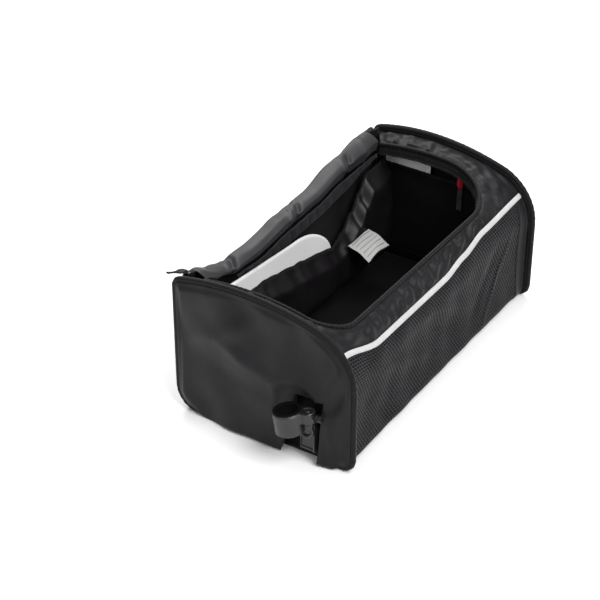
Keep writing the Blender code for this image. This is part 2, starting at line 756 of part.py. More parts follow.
def build_plates():
    """The two silver plates that stand in the pockets."""
    left = -BODY_END + RAIL_THICKNESS + 4 * GAP
    foot = BASE_THICKNESS + GAP
    wide, high = BACK_PLATE_CORNER
    right = left + BACK_PLATE_LENGTH
    top = BACK_PLATE_TOP - BACK_PLATE_SLOPE * (BACK_PLATE_LENGTH - wide)
    turned = arc((0, 0), 1.0, 0, 90, 8)
    outline = [(left, foot), (right, foot)]
    outline += [(right - wide + wide * c, top - high + high * s) for c, s in turned]
    outline += [(left, BACK_PLATE_TOP)]
    plate = flat_plate("back_plate", outline, PLATE_THICKNESS, SILVER)
    plate.rotation_euler.x = math.pi / 2
    plate.location.y = BAG_DEPTH / 2 - POCKET_EDGE_MARGIN + POCKET_CLOTH + GAP + PLATE_THICKNESS / 2

    back = BAG_DEPTH / 2 - POCKET_EDGE_MARGIN + POCKET_CLOTH
    front = back - END_PLATE_WIDTH
    radius = END_PLATE_CORNER
    foot = BASE_THICKNESS + RAIL_HEIGHT
    outline = [(front, foot), (back, foot), (back, END_PLATE_TOP)]
    outline += arc((front + radius, END_PLATE_TOP - radius), radius, 90, 180, 5)
    plate = flat_plate("end_plate", outline, PLATE_THICKNESS, SILVER)
    stand_across(plate, BODY_END - GAP - PLATE_THICKNESS / 2)


def build_label():
    """The blank label, sewn to the back pocket and curling down into the bag."""
    start_y = BAG_DEPTH / 2 - POCKET_BULGE_MARGIN - POCKET_GATHER - GAP
    rows = []
    for share in between(0.0, 1.0, 4):
        y = start_y - LABEL_WIDTH * share
        z = LABEL_HEIGHT - LABEL_DROP * share**1.6
        half = LABEL_LENGTH / 2
        rows.append([Vector((x, y, z)) for x in between(LABEL_X - half, LABEL_X + half, 3)])
    rows.reverse()
    cloth_sheet("care_label", rows, LABEL_THICKNESS, WHITE_LABEL)


def build_hang_strap(pocket_x):
    """A short webbing strap on the end pocket with a red tab at its top."""
    face = pocket_x - GAP
    strap = block_mesh(
        "hang_strap",
        (face - STRAP_THICKNESS, STRAP_Y - STRAP_WIDTH / 2, STRAP_FOOT),
        (face, STRAP_Y + STRAP_WIDTH / 2, STRAP_FOOT + STRAP_LENGTH),
    )
    add_piece("hang_strap", strap, GREY_WEBBING)
    foot = STRAP_FOOT + STRAP_LENGTH + GAP
    tab = block_mesh(
        "red_tab",
        (face - TAB_THICKNESS, STRAP_Y - TAB_WIDTH / 2, foot),
        (face, STRAP_Y + TAB_WIDTH / 2, foot + TAB_LENGTH),
        bevel=TAB_THICKNESS / 4,
    )
    add_piece("red_tab", tab, RED_PLASTIC)


def build_base():
    """The stiff base and the two rails that carry the clamps."""
    half_depth = BAG_DEPTH / 2 - BODY_INSET - BODY_FOOT_RADIUS - CLOTH
    board = block_mesh(
        "base_board",
        (-BODY_END, -half_depth, 0.0),
        (BODY_END, half_depth, BASE_THICKNESS),
    )
    add_piece("base_board", board, BLACK_NYLON)
    half_rail = BAG_DEPTH / 2 - RAIL_MARGIN
    for side, name in ((-1, "left_rail"), (1, "right_rail")):
        ends = sorted((side * (BODY_END - RAIL_THICKNESS), side * BODY_END))
        rail = block_mesh(
            name,
            (ends[0], -half_rail, BASE_THICKNESS + GAP),
            (ends[1], half_rail, BASE_THICKNESS + RAIL_HEIGHT - GAP),
            bevel=RAIL_THICKNESS / 8,
        )
        add_piece(name, rail, BLACK_PLASTIC)


def bracket_outline():
    """The bracket's plate in (y, z): straight sides and a round top about the boss."""
    half = BRACKET_WIDTH / 2
    top = arc((BRACKET_Y, BRACKET_BOSS_HEIGHT + BRACKET_RISE), half, 0, 180, 10)
    return [(BRACKET_Y - half, BRACKET_FOOT), (BRACKET_Y + half, BRACKET_FOOT), *top]


def shape_bracket(name, side, add):
    """The plate that rises from the rail, with the shelf that carries the clamp's neck."""
    inner = BODY_END + GAP
    plate = flat_plate(name, bracket_outline(), BRACKET_THICKNESS, BLACK_PLASTIC)
    stand_across(plate, side * (inner + BRACKET_THICKNESS / 2))
    plate = as_mesh(plate, add)
    neck_x, neck_y, neck_z = neck_centre()
    ends = sorted((side * (inner + BRACKET_THICKNESS / 2), side * (PANEL_FACE + neck_x)))
    top = neck_z - NECK_HEIGHT / 2 - NECK_RADIUS * math.sin(math.radians(CLAMP_TILT)) - GAP
    shelf = block_mesh(
        f"{name}_shelf",
        (ends[0], neck_y - BRACKET_WIDTH / 4, BRACKET_BOSS_HEIGHT + BOSS_RADIUS + GAP),
        (ends[1], neck_y + BRACKET_WIDTH / 8, top),
    )
    return combine(plate, add_cutter(f"{name}_shelf", shelf), "UNION")


def as_mesh(obj, add):
    """Makes a mesh of a curve, so that a Boolean can use it."""
    bpy.context.view_layer.update()
    graph = bpy.context.evaluated_depsgraph_get()
    mesh = bpy.data.meshes.new_from_object(obj.evaluated_get(graph))
    shape = bmesh.new()
    shape.from_mesh(mesh)
    bmesh.ops.remove_doubles(shape, verts=shape.verts, dist=0.00001)
    bmesh.ops.recalc_face_normals(shape, faces=shape.faces)
    shape.to_mesh(mesh)
    shape.free()
    name, place = obj.name, obj.matrix_world.copy()
    bpy.data.objects.remove(obj)
    made = add(name, mesh)
    made.matrix_world = place
    return made


def clamp_centre():
    """Middle of the clamped tube, measured outwards from the panel's face."""
    return CLAMP_REACH, CLAMP_Y, CLAMP_MIDDLE


def neck_centre():
    """Middle of the neck, which reaches forwards from the ring near its top."""
    x, y, z = clamp_centre()
    lift = (BAND_HEIGHT - NECK_HEIGHT) / 2
    tilt = math.radians(CLAMP_TILT)
    return (
        x - NECK_SETBACK,
        y - NECK_LENGTH * math.cos(tilt) + lift * math.sin(tilt),
        z + NECK_LENGTH * math.sin(tilt) + lift * math.cos(tilt),
    )


def place_on_clamp(obj, side, offset=(0.0, 0.0, 0.0)):
    """Sets a piece at an offset in the clamp's own frame, whose Z is the tube's axis."""
    tilt = math.radians(CLAMP_TILT)
    x, y, z = clamp_centre()
    out, along, up = offset
    obj.location = (
        side * (PANEL_FACE + x + out),
        y + along * math.cos(tilt) + up * math.sin(tilt),
        z - along * math.sin(tilt) + up * math.cos(tilt),
    )
    obj.rotation_euler.x = -tilt
    return obj


def shape_clamp(name, side, ring_radius, bore_radius, add):
    """The ring round the tube with the neck that its bolt draws together."""
    ring = place_on_clamp(add(name, cylinder_mesh(name, ring_radius, BAND_HEIGHT, 28)), side)
    lift = (BAND_HEIGHT - NECK_HEIGHT) / 2
    neck = add_cutter(f"{name}_neck", cylinder_mesh("neck", NECK_RADIUS, NECK_HEIGHT, 16))
    place_on_clamp(neck, side, (-NECK_SETBACK, -NECK_LENGTH, lift))
    ends = sorted((0.0, side * -NECK_SETBACK * 1.5))
    web_mesh = block_mesh(
        "web",
        (ends[0] - BAND_THICKNESS, -NECK_LENGTH, lift - NECK_HEIGHT / 2 + GAP),
        (ends[1] + BAND_THICKNESS, 0.0, lift + NECK_HEIGHT / 2 - GAP),
    )
    web = place_on_clamp(add_cutter(f"{name}_web", web_mesh), side)
    bore_height = BAND_HEIGHT * 1.5
    bore = add_cutter(f"{name}_bore", cylinder_mesh("bore", bore_radius, bore_height, 28))
    place_on_clamp(bore, side)
    combine(ring, neck, "UNION")
    combine(ring, web, "UNION")
    return combine(ring, bore, "DIFFERENCE")


def build_left_clamp():
    """The clamp that the photo shows: bracket, boss, ring with liner, and bolt."""

    def as_piece(name, mesh):
        mesh.materials.clear()
        return add_piece(name, mesh, BLACK_PLASTIC)

    liner_outer = TUBE_RADIUS + LINER_THICKNESS
    band_inner = liner_outer + GAP
    shape_bracket("left_bracket", -1, as_piece)
    shape_clamp("left_clamp", -1, band_inner + BAND_THICKNESS, band_inner, as_piece)
    build_boss("left_boss", -1)

    liner_mesh = cylinder_mesh("left_liner", liner_outer, BAND_HEIGHT, 28)
    liner = place_on_clamp(add_piece("left_liner", liner_mesh, RUBBER), -1)
    bore = add_cutter("liner_bore", cylinder_mesh("bore", TUBE_RADIUS, BAND_HEIGHT * 1.5, 28))
    combine(liner, place_on_clamp(bore, -1), "DIFFERENCE")

    bolt_mesh = cylinder_mesh("left_bolt", BOLT_RADIUS, BOLT_LENGTH, 6)
    bolt = add_piece("left_bolt", bolt_mesh, STEEL)
    reach = NECK_LENGTH + NECK_RADIUS + GAP + BOLT_LENGTH / 2
    lift = (BAND_HEIGHT - NECK_HEIGHT) / 2
    place_on_clamp(bolt, -1, (-NECK_SETBACK, -reach, lift))
    bolt.rotation_euler.x += math.pi / 2


def build_boss(name, side):
    """The dished round cap on the bracket, turned from its profile."""
    radius, length = BOSS_RADIUS, BOSS_LENGTH
    dish = length * 0.55
    profile = [
        (0.0, dish),
        (radius * 0.55, dish * 1.1),
        (radius * 0.78, length),
        (radius * 0.94, length),
        (radius, length * 0.85),
        (radius, 0.0),
        (0.0, 0.0),
    ]
    mesh = bpy.data.meshes.new(name)
    edges = [(i, i + 1) for i in range(len(profile) - 1)]
    mesh.from_pydata([(r, 0.0, z) for r, z in profile], edges, [])
    boss = add_piece(name, mesh, BLACK_PLASTIC)
    turned = boss.modifiers.new("Turned", "SCREW")
    turned.steps = turned.render_steps = 20
    turned.use_merge_vertices = True
    turned.merge_threshold = 0.00001
    boss.rotation_euler.y = side * math.pi / 2
    face = BODY_END + GAP + BRACKET_THICKNESS + GAP
    boss.location = (side * face, BRACKET_Y, BRACKET_BOSS_HEIGHT)


def build_right_clamp():
    """The same clamp at the far end, which the photo hides, as one plain piece."""

    def as_piece(name, mesh):
        mesh.materials.clear()
        return add_piece(name, mesh, BLACK_PLASTIC)

    band_inner = TUBE_RADIUS + GAP
    ring_radius = TUBE_RADIUS + LINER_THICKNESS + BAND_THICKNESS + GAP
    clamp = shape_clamp("right_clamp", 1, ring_radius, band_inner, as_piece)
    bracket = shape_bracket("right_bracket", 1, add_cutter)
    _, neck_y, neck_z = neck_centre()
    x, _, _ = clamp_centre()
    overlap = 3 * GAP
    post = block_mesh(
        "post",
        (PANEL_FACE + x - NECK_SETBACK * 2, neck_y - BRACKET_WIDTH / 5, BRACKET_BOSS_HEIGHT),
        (PANEL_FACE + x - NECK_SETBACK, neck_y + BRACKET_WIDTH / 5, neck_z - overlap),
    )
    combine(clamp, add_cutter("post", post), "UNION")
    combine(clamp, bracket, "UNION")


def build_zip_end():
    """The loose end of the zip's tape, which sticks out over the left panel's back corner."""
    lift = 1.5 * GAP + TAPE_THICKNESS
    corner = PANEL_FACE - 2 * PIPING_RADIUS
    root = PANEL_FACE - ZIP_END_LENGTH
    back = BAG_DEPTH / 2
    over = top_height(BACK_CENTRE.x, 0.0) + lift
    front = [
        Vector((-root, back - LID_RIDGE_MARGIN, ridge_height(-root) + lift)),
        Vector((-corner, back - LID_RIDGE_MARGIN, over)),
        Vector((-PANEL_FACE, back, over)),
    ]
    shift = Vector((0, ZIP_END_WIDTH, 0))
    behind = [front[0] + shift, front[1] + shift, front[2] + shift / 2]
    cloth_sheet("zip_end", [behind, front], TAPE_THICKNESS, BINDING_TAPE)


def main():
    clear_scene()
    for side, word in ((-1, "left"), (1, "right")):
        build_panel(f"{word}_panel", side)
        build_piping(f"{word}_piping", side)
    build_base()
    build_front()
    build_top_band()
    build_back_wall()
    build_lid()
    build_back_hem()
    build_back_pocket()
    build_left_lining()
    pocket_x = build_end_pocket()
    build_plates()
    build_label()
    build_hang_strap(pocket_x)
    build_zip_end()
    build_left_clamp()
    build_right_clamp()


main()
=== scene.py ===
import math

import bpy
import numpy as np
from mathutils import Matrix, Vector


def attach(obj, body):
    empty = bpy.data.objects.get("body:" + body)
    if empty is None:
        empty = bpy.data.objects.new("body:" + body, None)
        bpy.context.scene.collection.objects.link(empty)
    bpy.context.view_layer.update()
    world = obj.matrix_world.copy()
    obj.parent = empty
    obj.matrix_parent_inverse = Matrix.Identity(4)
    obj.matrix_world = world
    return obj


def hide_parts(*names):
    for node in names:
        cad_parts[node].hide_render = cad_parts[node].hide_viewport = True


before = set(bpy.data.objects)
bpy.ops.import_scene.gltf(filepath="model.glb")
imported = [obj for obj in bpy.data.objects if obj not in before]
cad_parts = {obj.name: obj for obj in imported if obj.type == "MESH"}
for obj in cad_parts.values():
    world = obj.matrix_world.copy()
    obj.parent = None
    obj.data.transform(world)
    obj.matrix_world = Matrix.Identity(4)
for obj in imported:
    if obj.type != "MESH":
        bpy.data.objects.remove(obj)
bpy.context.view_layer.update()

mm = 0.001

# The bag's own sizes, as the CAD has them
bag = {"length": 380 * mm, "depth": 210 * mm, "height": 165 * mm, "gap": 0.3 * mm}
panel = {"thickness": 6 * mm, "crown": 300 * mm, "crownBack": 25 * mm, "dome": 62 * mm,
         "backCorner": 12 * mm, "frontFoot": 15 * mm, "backFoot": 27 * mm, "piping": 3 * mm,
         "pipingTurn": 75, "notchFront": 38 * mm, "notchWidth": 43 * mm, "notchHeight": 75 * mm,
         "notchDrop": 2 * mm, "notchLean": 17 * mm, "notchFrontLean": 5 * mm}
cloth = {"thickness": 1.6 * mm, "inset": 8 * mm, "foot": 10 * mm}
faceX = bag["length"] / 2
bodyEnd = faceX - panel["thickness"] - bag["gap"]
frontY = -bag["depth"] / 2
backY = bag["depth"] / 2


# Materials

def toLinear(value):
    return value / 12.92 if value <= 0.04045 else ((value + 0.055) / 1.055) ** 2.4


def srgb(hexColour):
    channels = [int(hexColour[i:i + 2], 16) / 255 for i in (1, 3, 5)]
    return (*[toLinear(c) for c in channels], 1.0)


def addNode(tree, kind, settings=None, links=None):
    node = tree.nodes.new(kind)
    for key, value in (settings or {}).items():
        if not isinstance(key, int) and hasattr(node, key):
            setattr(node, key, value)
    for key, value in (settings or {}).items():
        if isinstance(key, int) or not hasattr(node, key):
            node.inputs[key].default_value = value
    for key, source in (links or {}).items():
        tree.links.new(source, node.inputs[key])
    return node


def newMaterial(name):
    made = bpy.data.materials.new(name)
    made.use_nodes = True
    made.node_tree.nodes.clear()
    return made, made.node_tree


def finishMaterial(tree, settings, links):
    shader = addNode(tree, "ShaderNodeBsdfPrincipled", settings, links)
    addNode(tree, "ShaderNodeOutputMaterial", {}, {"Surface": shader.outputs["BSDF"]})


def wovenCloth(name, look):
    # warp and weft are two bands of waves in the cloth's own metres, so they follow its folds
    made, tree = newMaterial(name)
    place = addNode(tree, "ShaderNodeUVMap", {"uv_map": "cloth"}).outputs["UV"]
    scaled = addNode(tree, "ShaderNodeVectorMath", {
        "operation": "SCALE", "Scale": 1 / (look["thread"] * mm)}, {0: place}).outputs[0]
    waves = [addNode(tree, "ShaderNodeTexWave", {
        "wave_type": "BANDS", "bands_direction": direction, "wave_profile": "SIN",
        "Scale": 0.314, "Distortion": look["uneven"], "Detail": 1.0, "Detail Scale": 0.6,
    }, {"Vector": scaled}).outputs["Fac"] for direction in ("X", "Y")]
    weave = addNode(tree, "ShaderNodeMath", {"operation": "MULTIPLY"}, {0: waves[0], 1: waves[1]})
    body = addNode(tree, "ShaderNodeTexCoord").outputs["Object"]
    # the patches mix the dark and the light colour below: random tone in most cloths, and painted
    # sheen in the coated nylon
    patches = addNode(tree, "ShaderNodeTexNoise", {
        "Scale": look["patch"], "Detail": 5.0, "Roughness": 0.6}, {"Vector": body})
    fibre = addNode(tree, "ShaderNodeTexNoise", {"Scale": 900.0, "Detail": 2.0}, {"Vector": body})
    ramp = addNode(tree, "ShaderNodeMapRange", {"From Min": 0.3, "From Max": 0.7},
                   {"Value": patches.outputs["Fac"]})
    colour = addNode(tree, "ShaderNodeMix", {
        "data_type": "RGBA", 6: srgb(look["dark"]), 7: srgb(look["light"])},
        {0: ramp.outputs["Result"]})
    threads = addNode(tree, "ShaderNodeMix", {
        "data_type": "RGBA", "blend_type": "MULTIPLY", 0: look["contrast"]},
        {6: colour.outputs[2], 7: weave.outputs[0]})
    rough = addNode(tree, "ShaderNodeMapRange", {
        "To Min": look["roughness"] - 0.06, "To Max": look["roughness"] + 0.08},
        {"Value": fibre.outputs["Fac"]})
    relief = addNode(tree, "ShaderNodeBump", {
        "Strength": look["relief"], "Distance": 0.25 * mm}, {"Height": weave.outputs[0]})
    soft = addNode(tree, "ShaderNodeBump", {
        "Strength": look["soft"], "Distance": 0.8 * mm},
        {"Height": patches.outputs["Fac"], "Normal": relief.outputs["Normal"]})
    finishMaterial(tree, {
        "IOR": 1.5, "Specular IOR Level": look["shine"], "Sheen Weight": look["sheen"],
        "Sheen Roughness": 0.45, "Coat Weight": look["coat"], "Coat Roughness": 0.4,
    }, {"Base Color": threads.outputs[2], "Roughness": rough.outputs["Result"],
        "Normal": soft.outputs["Normal"]})
    return made


def solidFinish(name, look):
    # a moulded, plated or filmed skin: fine grain, and a slow change of colour and gloss
    made, tree = newMaterial(name)
    body = addNode(tree, "ShaderNodeTexCoord").outputs["Object"]
    grain = addNode(tree, "ShaderNodeTexNoise", {"Scale": 1 / (look["grain"] * mm),
                                                  "Detail": 3.0}, {"Vector": body})
    patches = addNode(tree, "ShaderNodeTexNoise", {"Scale": look["patch"], "Detail": 4.0},
                      {"Vector": body})
    colour = addNode(tree, "ShaderNodeMix", {
        "data_type": "RGBA", 6: srgb(look["dark"]), 7: srgb(look["light"])},
        {0: patches.outputs["Fac"]})
    rough = addNode(tree, "ShaderNodeMapRange", {
        "To Min": look["roughness"] - 0.07, "To Max": look["roughness"] + 0.1},
        {"Value": patches.outputs["Fac"]})
    relief = addNode(tree, "ShaderNodeBump", {
        "Strength": look["relief"], "Distance": 0.15 * mm}, {"Height": grain.outputs["Fac"]})
    finishMaterial(tree, {"Metallic": look["metallic"], "Coat Weight": look["coat"],
                          "Specular IOR Level": look["shine"]}, {
        "Base Color": colour.outputs[2], "Roughness": rough.outputs["Result"],
        "Normal": relief.outputs["Normal"]})
    return made


# Polyurethane-coated nylon, plain woven: near black, with a faint sheen towards the light.
# Its threads are 0.4 mm apart; they are drawn at 1.5 mm so that they show.
# its broad lighter and darker patches are painted sheen: random patches of lighter colour standing
# in for reflections of the lamps
coatedNylon = wovenCloth("coatedNylon", {
    "dark": "#0c0a0d", "light": "#1f1d20", "thread": 1.5, "uneven": 1.2, "patch": 13.0,
    "contrast": 0.2, "roughness": 0.5, "relief": 0.3, "soft": 0.4, "shine": 0.2,
    "sheen": 0.04, "coat": 0.0})
# The same nylon with its coated back outside, as on the folded lid: greyer and a little glossy
coatedBack = wovenCloth("coatedBack", {
    "dark": "#242225", "light": "#2d2b2e", "thread": 1.5, "uneven": 1.5, "patch": 30.0,
    "contrast": 0.12, "roughness": 0.5, "relief": 0.15, "soft": 0.3, "shine": 0.3,
    "sheen": 0.05, "coat": 0.05})
# Polyester lining, thin and calendered: dark, dull, softly creased
liningCloth = wovenCloth("liningCloth", {
    "dark": "#080708", "light": "#0e0d0e", "thread": 1.2, "uneven": 1.0, "patch": 18.0,
    "contrast": 0.15, "roughness": 0.55, "relief": 0.15, "soft": 0.4, "shine": 0.15,
    "sheen": 0.02, "coat": 0.0})
# Pocket cloth, light glazed nylon: black, and it glints along its wrinkles
glazedNylon = wovenCloth("glazedNylon", {
    "dark": "#100e10", "light": "#181618", "thread": 1.2, "uneven": 1.0, "patch": 22.0,
    "contrast": 0.12, "roughness": 0.4, "relief": 0.12, "soft": 0.5, "shine": 0.3,
    "sheen": 0.0, "coat": 0.0})
# Warp-knitted polyester net: matt threads, lighter than the cloth because light catches each one
netYarn = wovenCloth("netYarn", {
    "dark": "#1b191c", "light": "#262428", "thread": 0.9, "uneven": 2.0, "patch": 40.0,
    "contrast": 0.2, "roughness": 0.5, "relief": 0.2, "soft": 0.2, "shine": 0.18,
    "sheen": 0.1, "coat": 0.0})
# Woven polyester binding, 0.6 mm ribs across it, drawn at 1.1 mm: the darkest cloth, matt
bindingTape = wovenCloth("bindingTape", {
    "dark": "#0d0c0d", "light": "#151315", "thread": 1.1, "uneven": 0.8, "patch": 60.0,
    "contrast": 0.35, "roughness": 0.58, "relief": 0.5, "soft": 0.2, "shine": 0.15,
    "sheen": 0.08, "coat": 0.0})
# Glass-bead reflective cloth: silver white and even
reflectiveCloth = wovenCloth("reflectiveCloth", {
    "dark": "#b4b4b4", "light": "#c0c0c0", "thread": 0.8, "uneven": 0.4, "patch": 90.0,
    "contrast": 0.06, "roughness": 0.45, "relief": 0.08, "soft": 0.1, "shine": 0.2,
    "sheen": 0.0, "coat": 0.0})
# Polyester webbing, 1 mm ribs: mid grey, matt
greyWebbing = wovenCloth("greyWebbing", {
    "dark": "#343235", "light": "#474548", "thread": 1.0, "uneven": 0.5, "patch": 70.0,
    "contrast": 0.4, "roughness": 0.7, "relief": 0.6, "soft": 0.2, "shine": 0.4,
    "sheen": 0.2, "coat": 0.0})
# Spun polyester sewing thread: dark, a touch shinier than the cloth
sewingThread = wovenCloth("sewingThread", {
    "dark": "#2c2a2d", "light": "#3c3a3d", "thread": 0.5, "uneven": 0.5, "patch": 200.0,
    "contrast": 0.3, "roughness": 0.5, "relief": 0.3, "soft": 0.1, "shine": 0.5,
    "sheen": 0.1, "coat": 0.0})
# Silver-filmed polypropylene board: satin, with a soft metal gleam
silverBoard = solidFinish("silverBoard", {
    "dark": "#f6f6f5", "light": "#ffffff", "grain": 0.8, "patch": 22.0, "roughness": 0.34,
    "relief": 0.12, "metallic": 0.08, "coat": 0.0, "shine": 0.4})
# Injection-moulded nylon plastic with a spark-eroded grain: charcoal, satin
mouldedNylon = solidFinish("mouldedNylon", {
    "dark": "#191719", "light": "#252325", "grain": 0.35, "patch": 90.0, "roughness": 0.32,
    "relief": 0.35, "metallic": 0.0, "coat": 0.0, "shine": 0.5})
# Thermoplastic rubber liner: black, dull
clampRubber = solidFinish("clampRubber", {
    "dark": "#040404", "light": "#080808", "grain": 0.4, "patch": 120.0, "roughness": 0.7,
    "relief": 0.3, "metallic": 0.0, "coat": 0.0, "shine": 0.1})
# Blackened zinc-plated steel: dark grey metal, worn a little bright by the spanner
zincSteel = solidFinish("zincSteel", {
    "dark": "#2a292b", "light": "#403f41", "grain": 0.3, "patch": 300.0, "roughness": 0.45,
    "relief": 0.2, "metallic": 1.0, "coat": 0.0, "shine": 0.5})
# Glossy polyacetal: red all through
redAcetal = solidFinish("redAcetal", {
    "dark": "#ae172b", "light": "#cc2238", "grain": 0.5, "patch": 150.0, "roughness": 0.32,
    "relief": 0.1, "metallic": 0.0, "coat": 0.3, "shine": 0.5})
# Polyacetal zip coil: black, a little glossy
zipCoil = solidFinish("zipCoil", {
    "dark": "#1c1b1c", "light": "#2a292a", "grain": 0.3, "patch": 200.0, "roughness": 0.35,
    "relief": 0.2, "metallic": 0.0, "coat": 0.2, "shine": 0.5})


def ruledLabel():
    # woven taffeta label: white, with thin grey rules and no words
    rules = {"pitch": 5.2 * mm, "width": 0.14, "ink": "#5b5b5e", "paper": "#a4a4a2"}
    made, tree = newMaterial("taffetaLabel")
    place = addNode(tree, "ShaderNodeUVMap", {"uv_map": "cloth"}).outputs["UV"]
    across = addNode(tree, "ShaderNodeSeparateXYZ", {}, {0: place}).outputs["Y"]
    turns = addNode(tree, "ShaderNodeMath", {"operation": "DIVIDE", 1: rules["pitch"]}, {0: across})
    step = addNode(tree, "ShaderNodeMath", {"operation": "FRACT"}, {0: turns.outputs[0]})
    line = addNode(tree, "ShaderNodeMath", {"operation": "LESS_THAN", 1: rules["width"]},
                   {0: step.outputs[0]})
    along = addNode(tree, "ShaderNodeSeparateXYZ", {}, {0: place}).outputs["X"]
    margin = addNode(tree, "ShaderNodeMath", {"operation": "COMPARE", 1: 23 * mm, 2: 18.5 * mm},
                     {0: along})
    inked = addNode(tree, "ShaderNodeMath", {"operation": "MULTIPLY"},
                    {0: line.outputs[0], 1: margin.outputs[0]})
    body = addNode(tree, "ShaderNodeTexCoord").outputs["Object"]
    threads = addNode(tree, "ShaderNodeTexNoise", {"Scale": 1500.0, "Detail": 2.0},
                      {"Vector": body})
    colour = addNode(tree, "ShaderNodeMix", {
        "data_type": "RGBA", 6: srgb(rules["paper"]), 7: srgb(rules["ink"])},
        {0: inked.outputs[0]})
    relief = addNode(tree, "ShaderNodeBump", {"Strength": 0.2, "Distance": 0.1 * mm},
                     {"Height": threads.outputs["Fac"]})
    finishMaterial(tree, {"Roughness": 0.75, "Sheen Weight": 0.1}, {
        "Base Color": colour.outputs[2], "Normal": relief.outputs["Normal"]})
    return made


taffetaLabel = ruledLabel()
print("materials made")


# Shapes that every piece uses

def between(first, last, steps):
    return np.linspace(first, last, steps + 1)


def smooth(value):
    value = np.clip(value, 0.0, 1.0)
    return value * value * (3 - 2 * value)


def fromTable(rows, column, along):
    shares = np.array([row["along"] for row in rows])
    values = np.array([row[column] for row in rows])
    after = np.clip(np.searchsorted(shares, along), 1, len(rows) - 1)
    step = (along - shares[after - 1]) / (shares[after] - shares[after - 1])
    return values[after - 1] + (values[after] - values[after - 1]) * smooth(step)


def arc(centre, radius, first, last, steps):
    angles = np.radians(between(first, last, steps))
    return np.column_stack([centre[0] + radius * np.cos(angles),
                            centre[1] + radius * np.sin(angles)])


def lengthsAlong(points):
    return np.concatenate([[0], np.cumsum(np.linalg.norm(np.diff(points, axis=0), axis=1))])


def pointAt(points, reached, wanted):
    return np.array([np.interp(wanted, reached, column) for column in points.T])


def evenly(points, count):
    points = np.asarray(points, float)
    reached = lengthsAlong(points)
    return pointAt(points, reached, np.linspace(0, reached[-1], count + 1)).T


def unit(vectors):
    return vectors / np.linalg.norm(vectors, axis=-1, keepdims=True)


def softFolds(a, b, fold):
    # long, soft folds: a few waves of different lengths and directions
    chance = np.random.default_rng(fold["seed"])
    total = np.zeros(np.broadcast(a, b).shape)
    for _ in range(fold["waves"]):
        angle = math.radians(fold["towards"] + chance.uniform(-1, 1) * fold["spread"])
        length = fold["length"] * chance.uniform(0.6, 1.7)
        phase = chance.uniform(0, 2 * math.pi)
        bend = 0.25 * np.sin((a * math.sin(angle) - b * math.cos(angle)) * 4 / length + phase * 2)
        total += np.sin((a * math.cos(angle) + b * math.sin(angle)) * 2 * math.pi / length
                        + phase + bend * 3)
    return total / math.sqrt(fold["waves"])


def creases(a, b, lines):
    # Each row is a soft ridge, or a dent where its height is negative, from one point to another.
    # Its columns are from along, from up, to along, to up, width and height, in millimetres.
    total = np.zeros(np.broadcast(a, b).shape)
    for line in lines:
        line = np.array([value * mm for value in line])
        start, end, width, height = line[:2], line[2:4], line[4], line[5]
        run = end - start
        share = ((a - start[0]) * run[0] + (b - start[1]) * run[1]) / (run @ run)
        held = np.clip(share, 0, 1)
        away = np.hypot(a - start[0] - held * run[0], b - start[1] - held * run[1])
        taper = np.sin(math.pi * np.clip(share, 0.02, 0.98)) ** 0.6
        total += height * taper * np.exp(-(away / width) ** 2)
    return total


def normalsOf(grid):
    across = np.gradient(grid, axis=1)
    up = np.gradient(grid, axis=0)
    normals = np.cross(across, up)
    length = np.linalg.norm(normals, axis=2, keepdims=True)
    return normals / np.maximum(length, 1e-12)


def dress(obj, material, body="root", replaces=()):
    obj.data.materials.clear()
    obj.data.materials.append(material)
    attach(obj, body)
    if replaces:
        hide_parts(*replaces)
    return obj


lean = {"reach": 9 * mm, "from": 160 * mm, "above": 70 * mm}


def leant(points):
    # the far end leans out a little towards its top and back, and takes what is sewn to it along
    points = np.array(points, float).reshape(-1, 3)
    share = smooth((points[:, 0] - lean["from"]) / (faceX - lean["from"]))
    share *= smooth((points[:, 2] - lean["above"]) / (bag["height"] - lean["above"]))
    share *= smooth((points[:, 1] - frontY) / bag["depth"])
    points[:, 0] += lean["reach"] * share
    return points


def meshPiece(name, vertices, faces, places=None, smoothed=True):
    mesh = bpy.data.meshes.new(name)
    used = sorted({int(i) for face in faces for i in face})
    order = {old: new for new, old in enumerate(used)}
    mesh.from_pydata(leant(vertices)[used].tolist(), [],
                     [tuple(order[int(i)] for i in face) for face in faces])
    places = np.zeros((len(vertices), 2)) if places is None else np.asarray(places, float)
    layer = mesh.uv_layers.new(name="cloth")
    corners = np.empty(len(mesh.loops), dtype=np.int32)
    mesh.loops.foreach_get("vertex_index", corners)
    layer.data.foreach_set("uv", places[used][corners].ravel())
    if smoothed:
        mesh.shade_smooth()
    obj = bpy.data.objects.new(name, mesh)
    bpy.context.scene.collection.objects.link(obj)
    return obj


def gridFaces(rows, columns, skip=None, closed=False):
    faces = []
    for r in range(rows - 1):
        for c in range(columns if closed else columns - 1):
            if skip is None or not skip[r, c]:
                d = (c + 1) % columns
                faces.append((r * columns + c, r * columns + d,
                              (r + 1) * columns + d, (r + 1) * columns + c))
    return faces


def endCaps(rings, sides):
    return [tuple(range(sides))[::-1], tuple((rings - 1) * sides + k for k in range(sides))]


def cutSize(grid):
    # the size a sheet is cut to: its longest row and column, and the area its quads add up to
    laid = leant(grid).reshape(grid.shape)
    across, up = np.diff(laid, axis=1), np.diff(laid, axis=0)
    wide = np.linalg.norm(across, axis=2).sum(axis=1).max()
    tall = np.linalg.norm(up, axis=2).sum(axis=0).max()
    quads = np.cross(laid[1:, 1:] - laid[:-1, :-1], laid[1:, :-1] - laid[:-1, 1:])
    return {"flat": (float(wide), float(tall)),
            "area": float(np.linalg.norm(quads, axis=2).sum() / 2)}


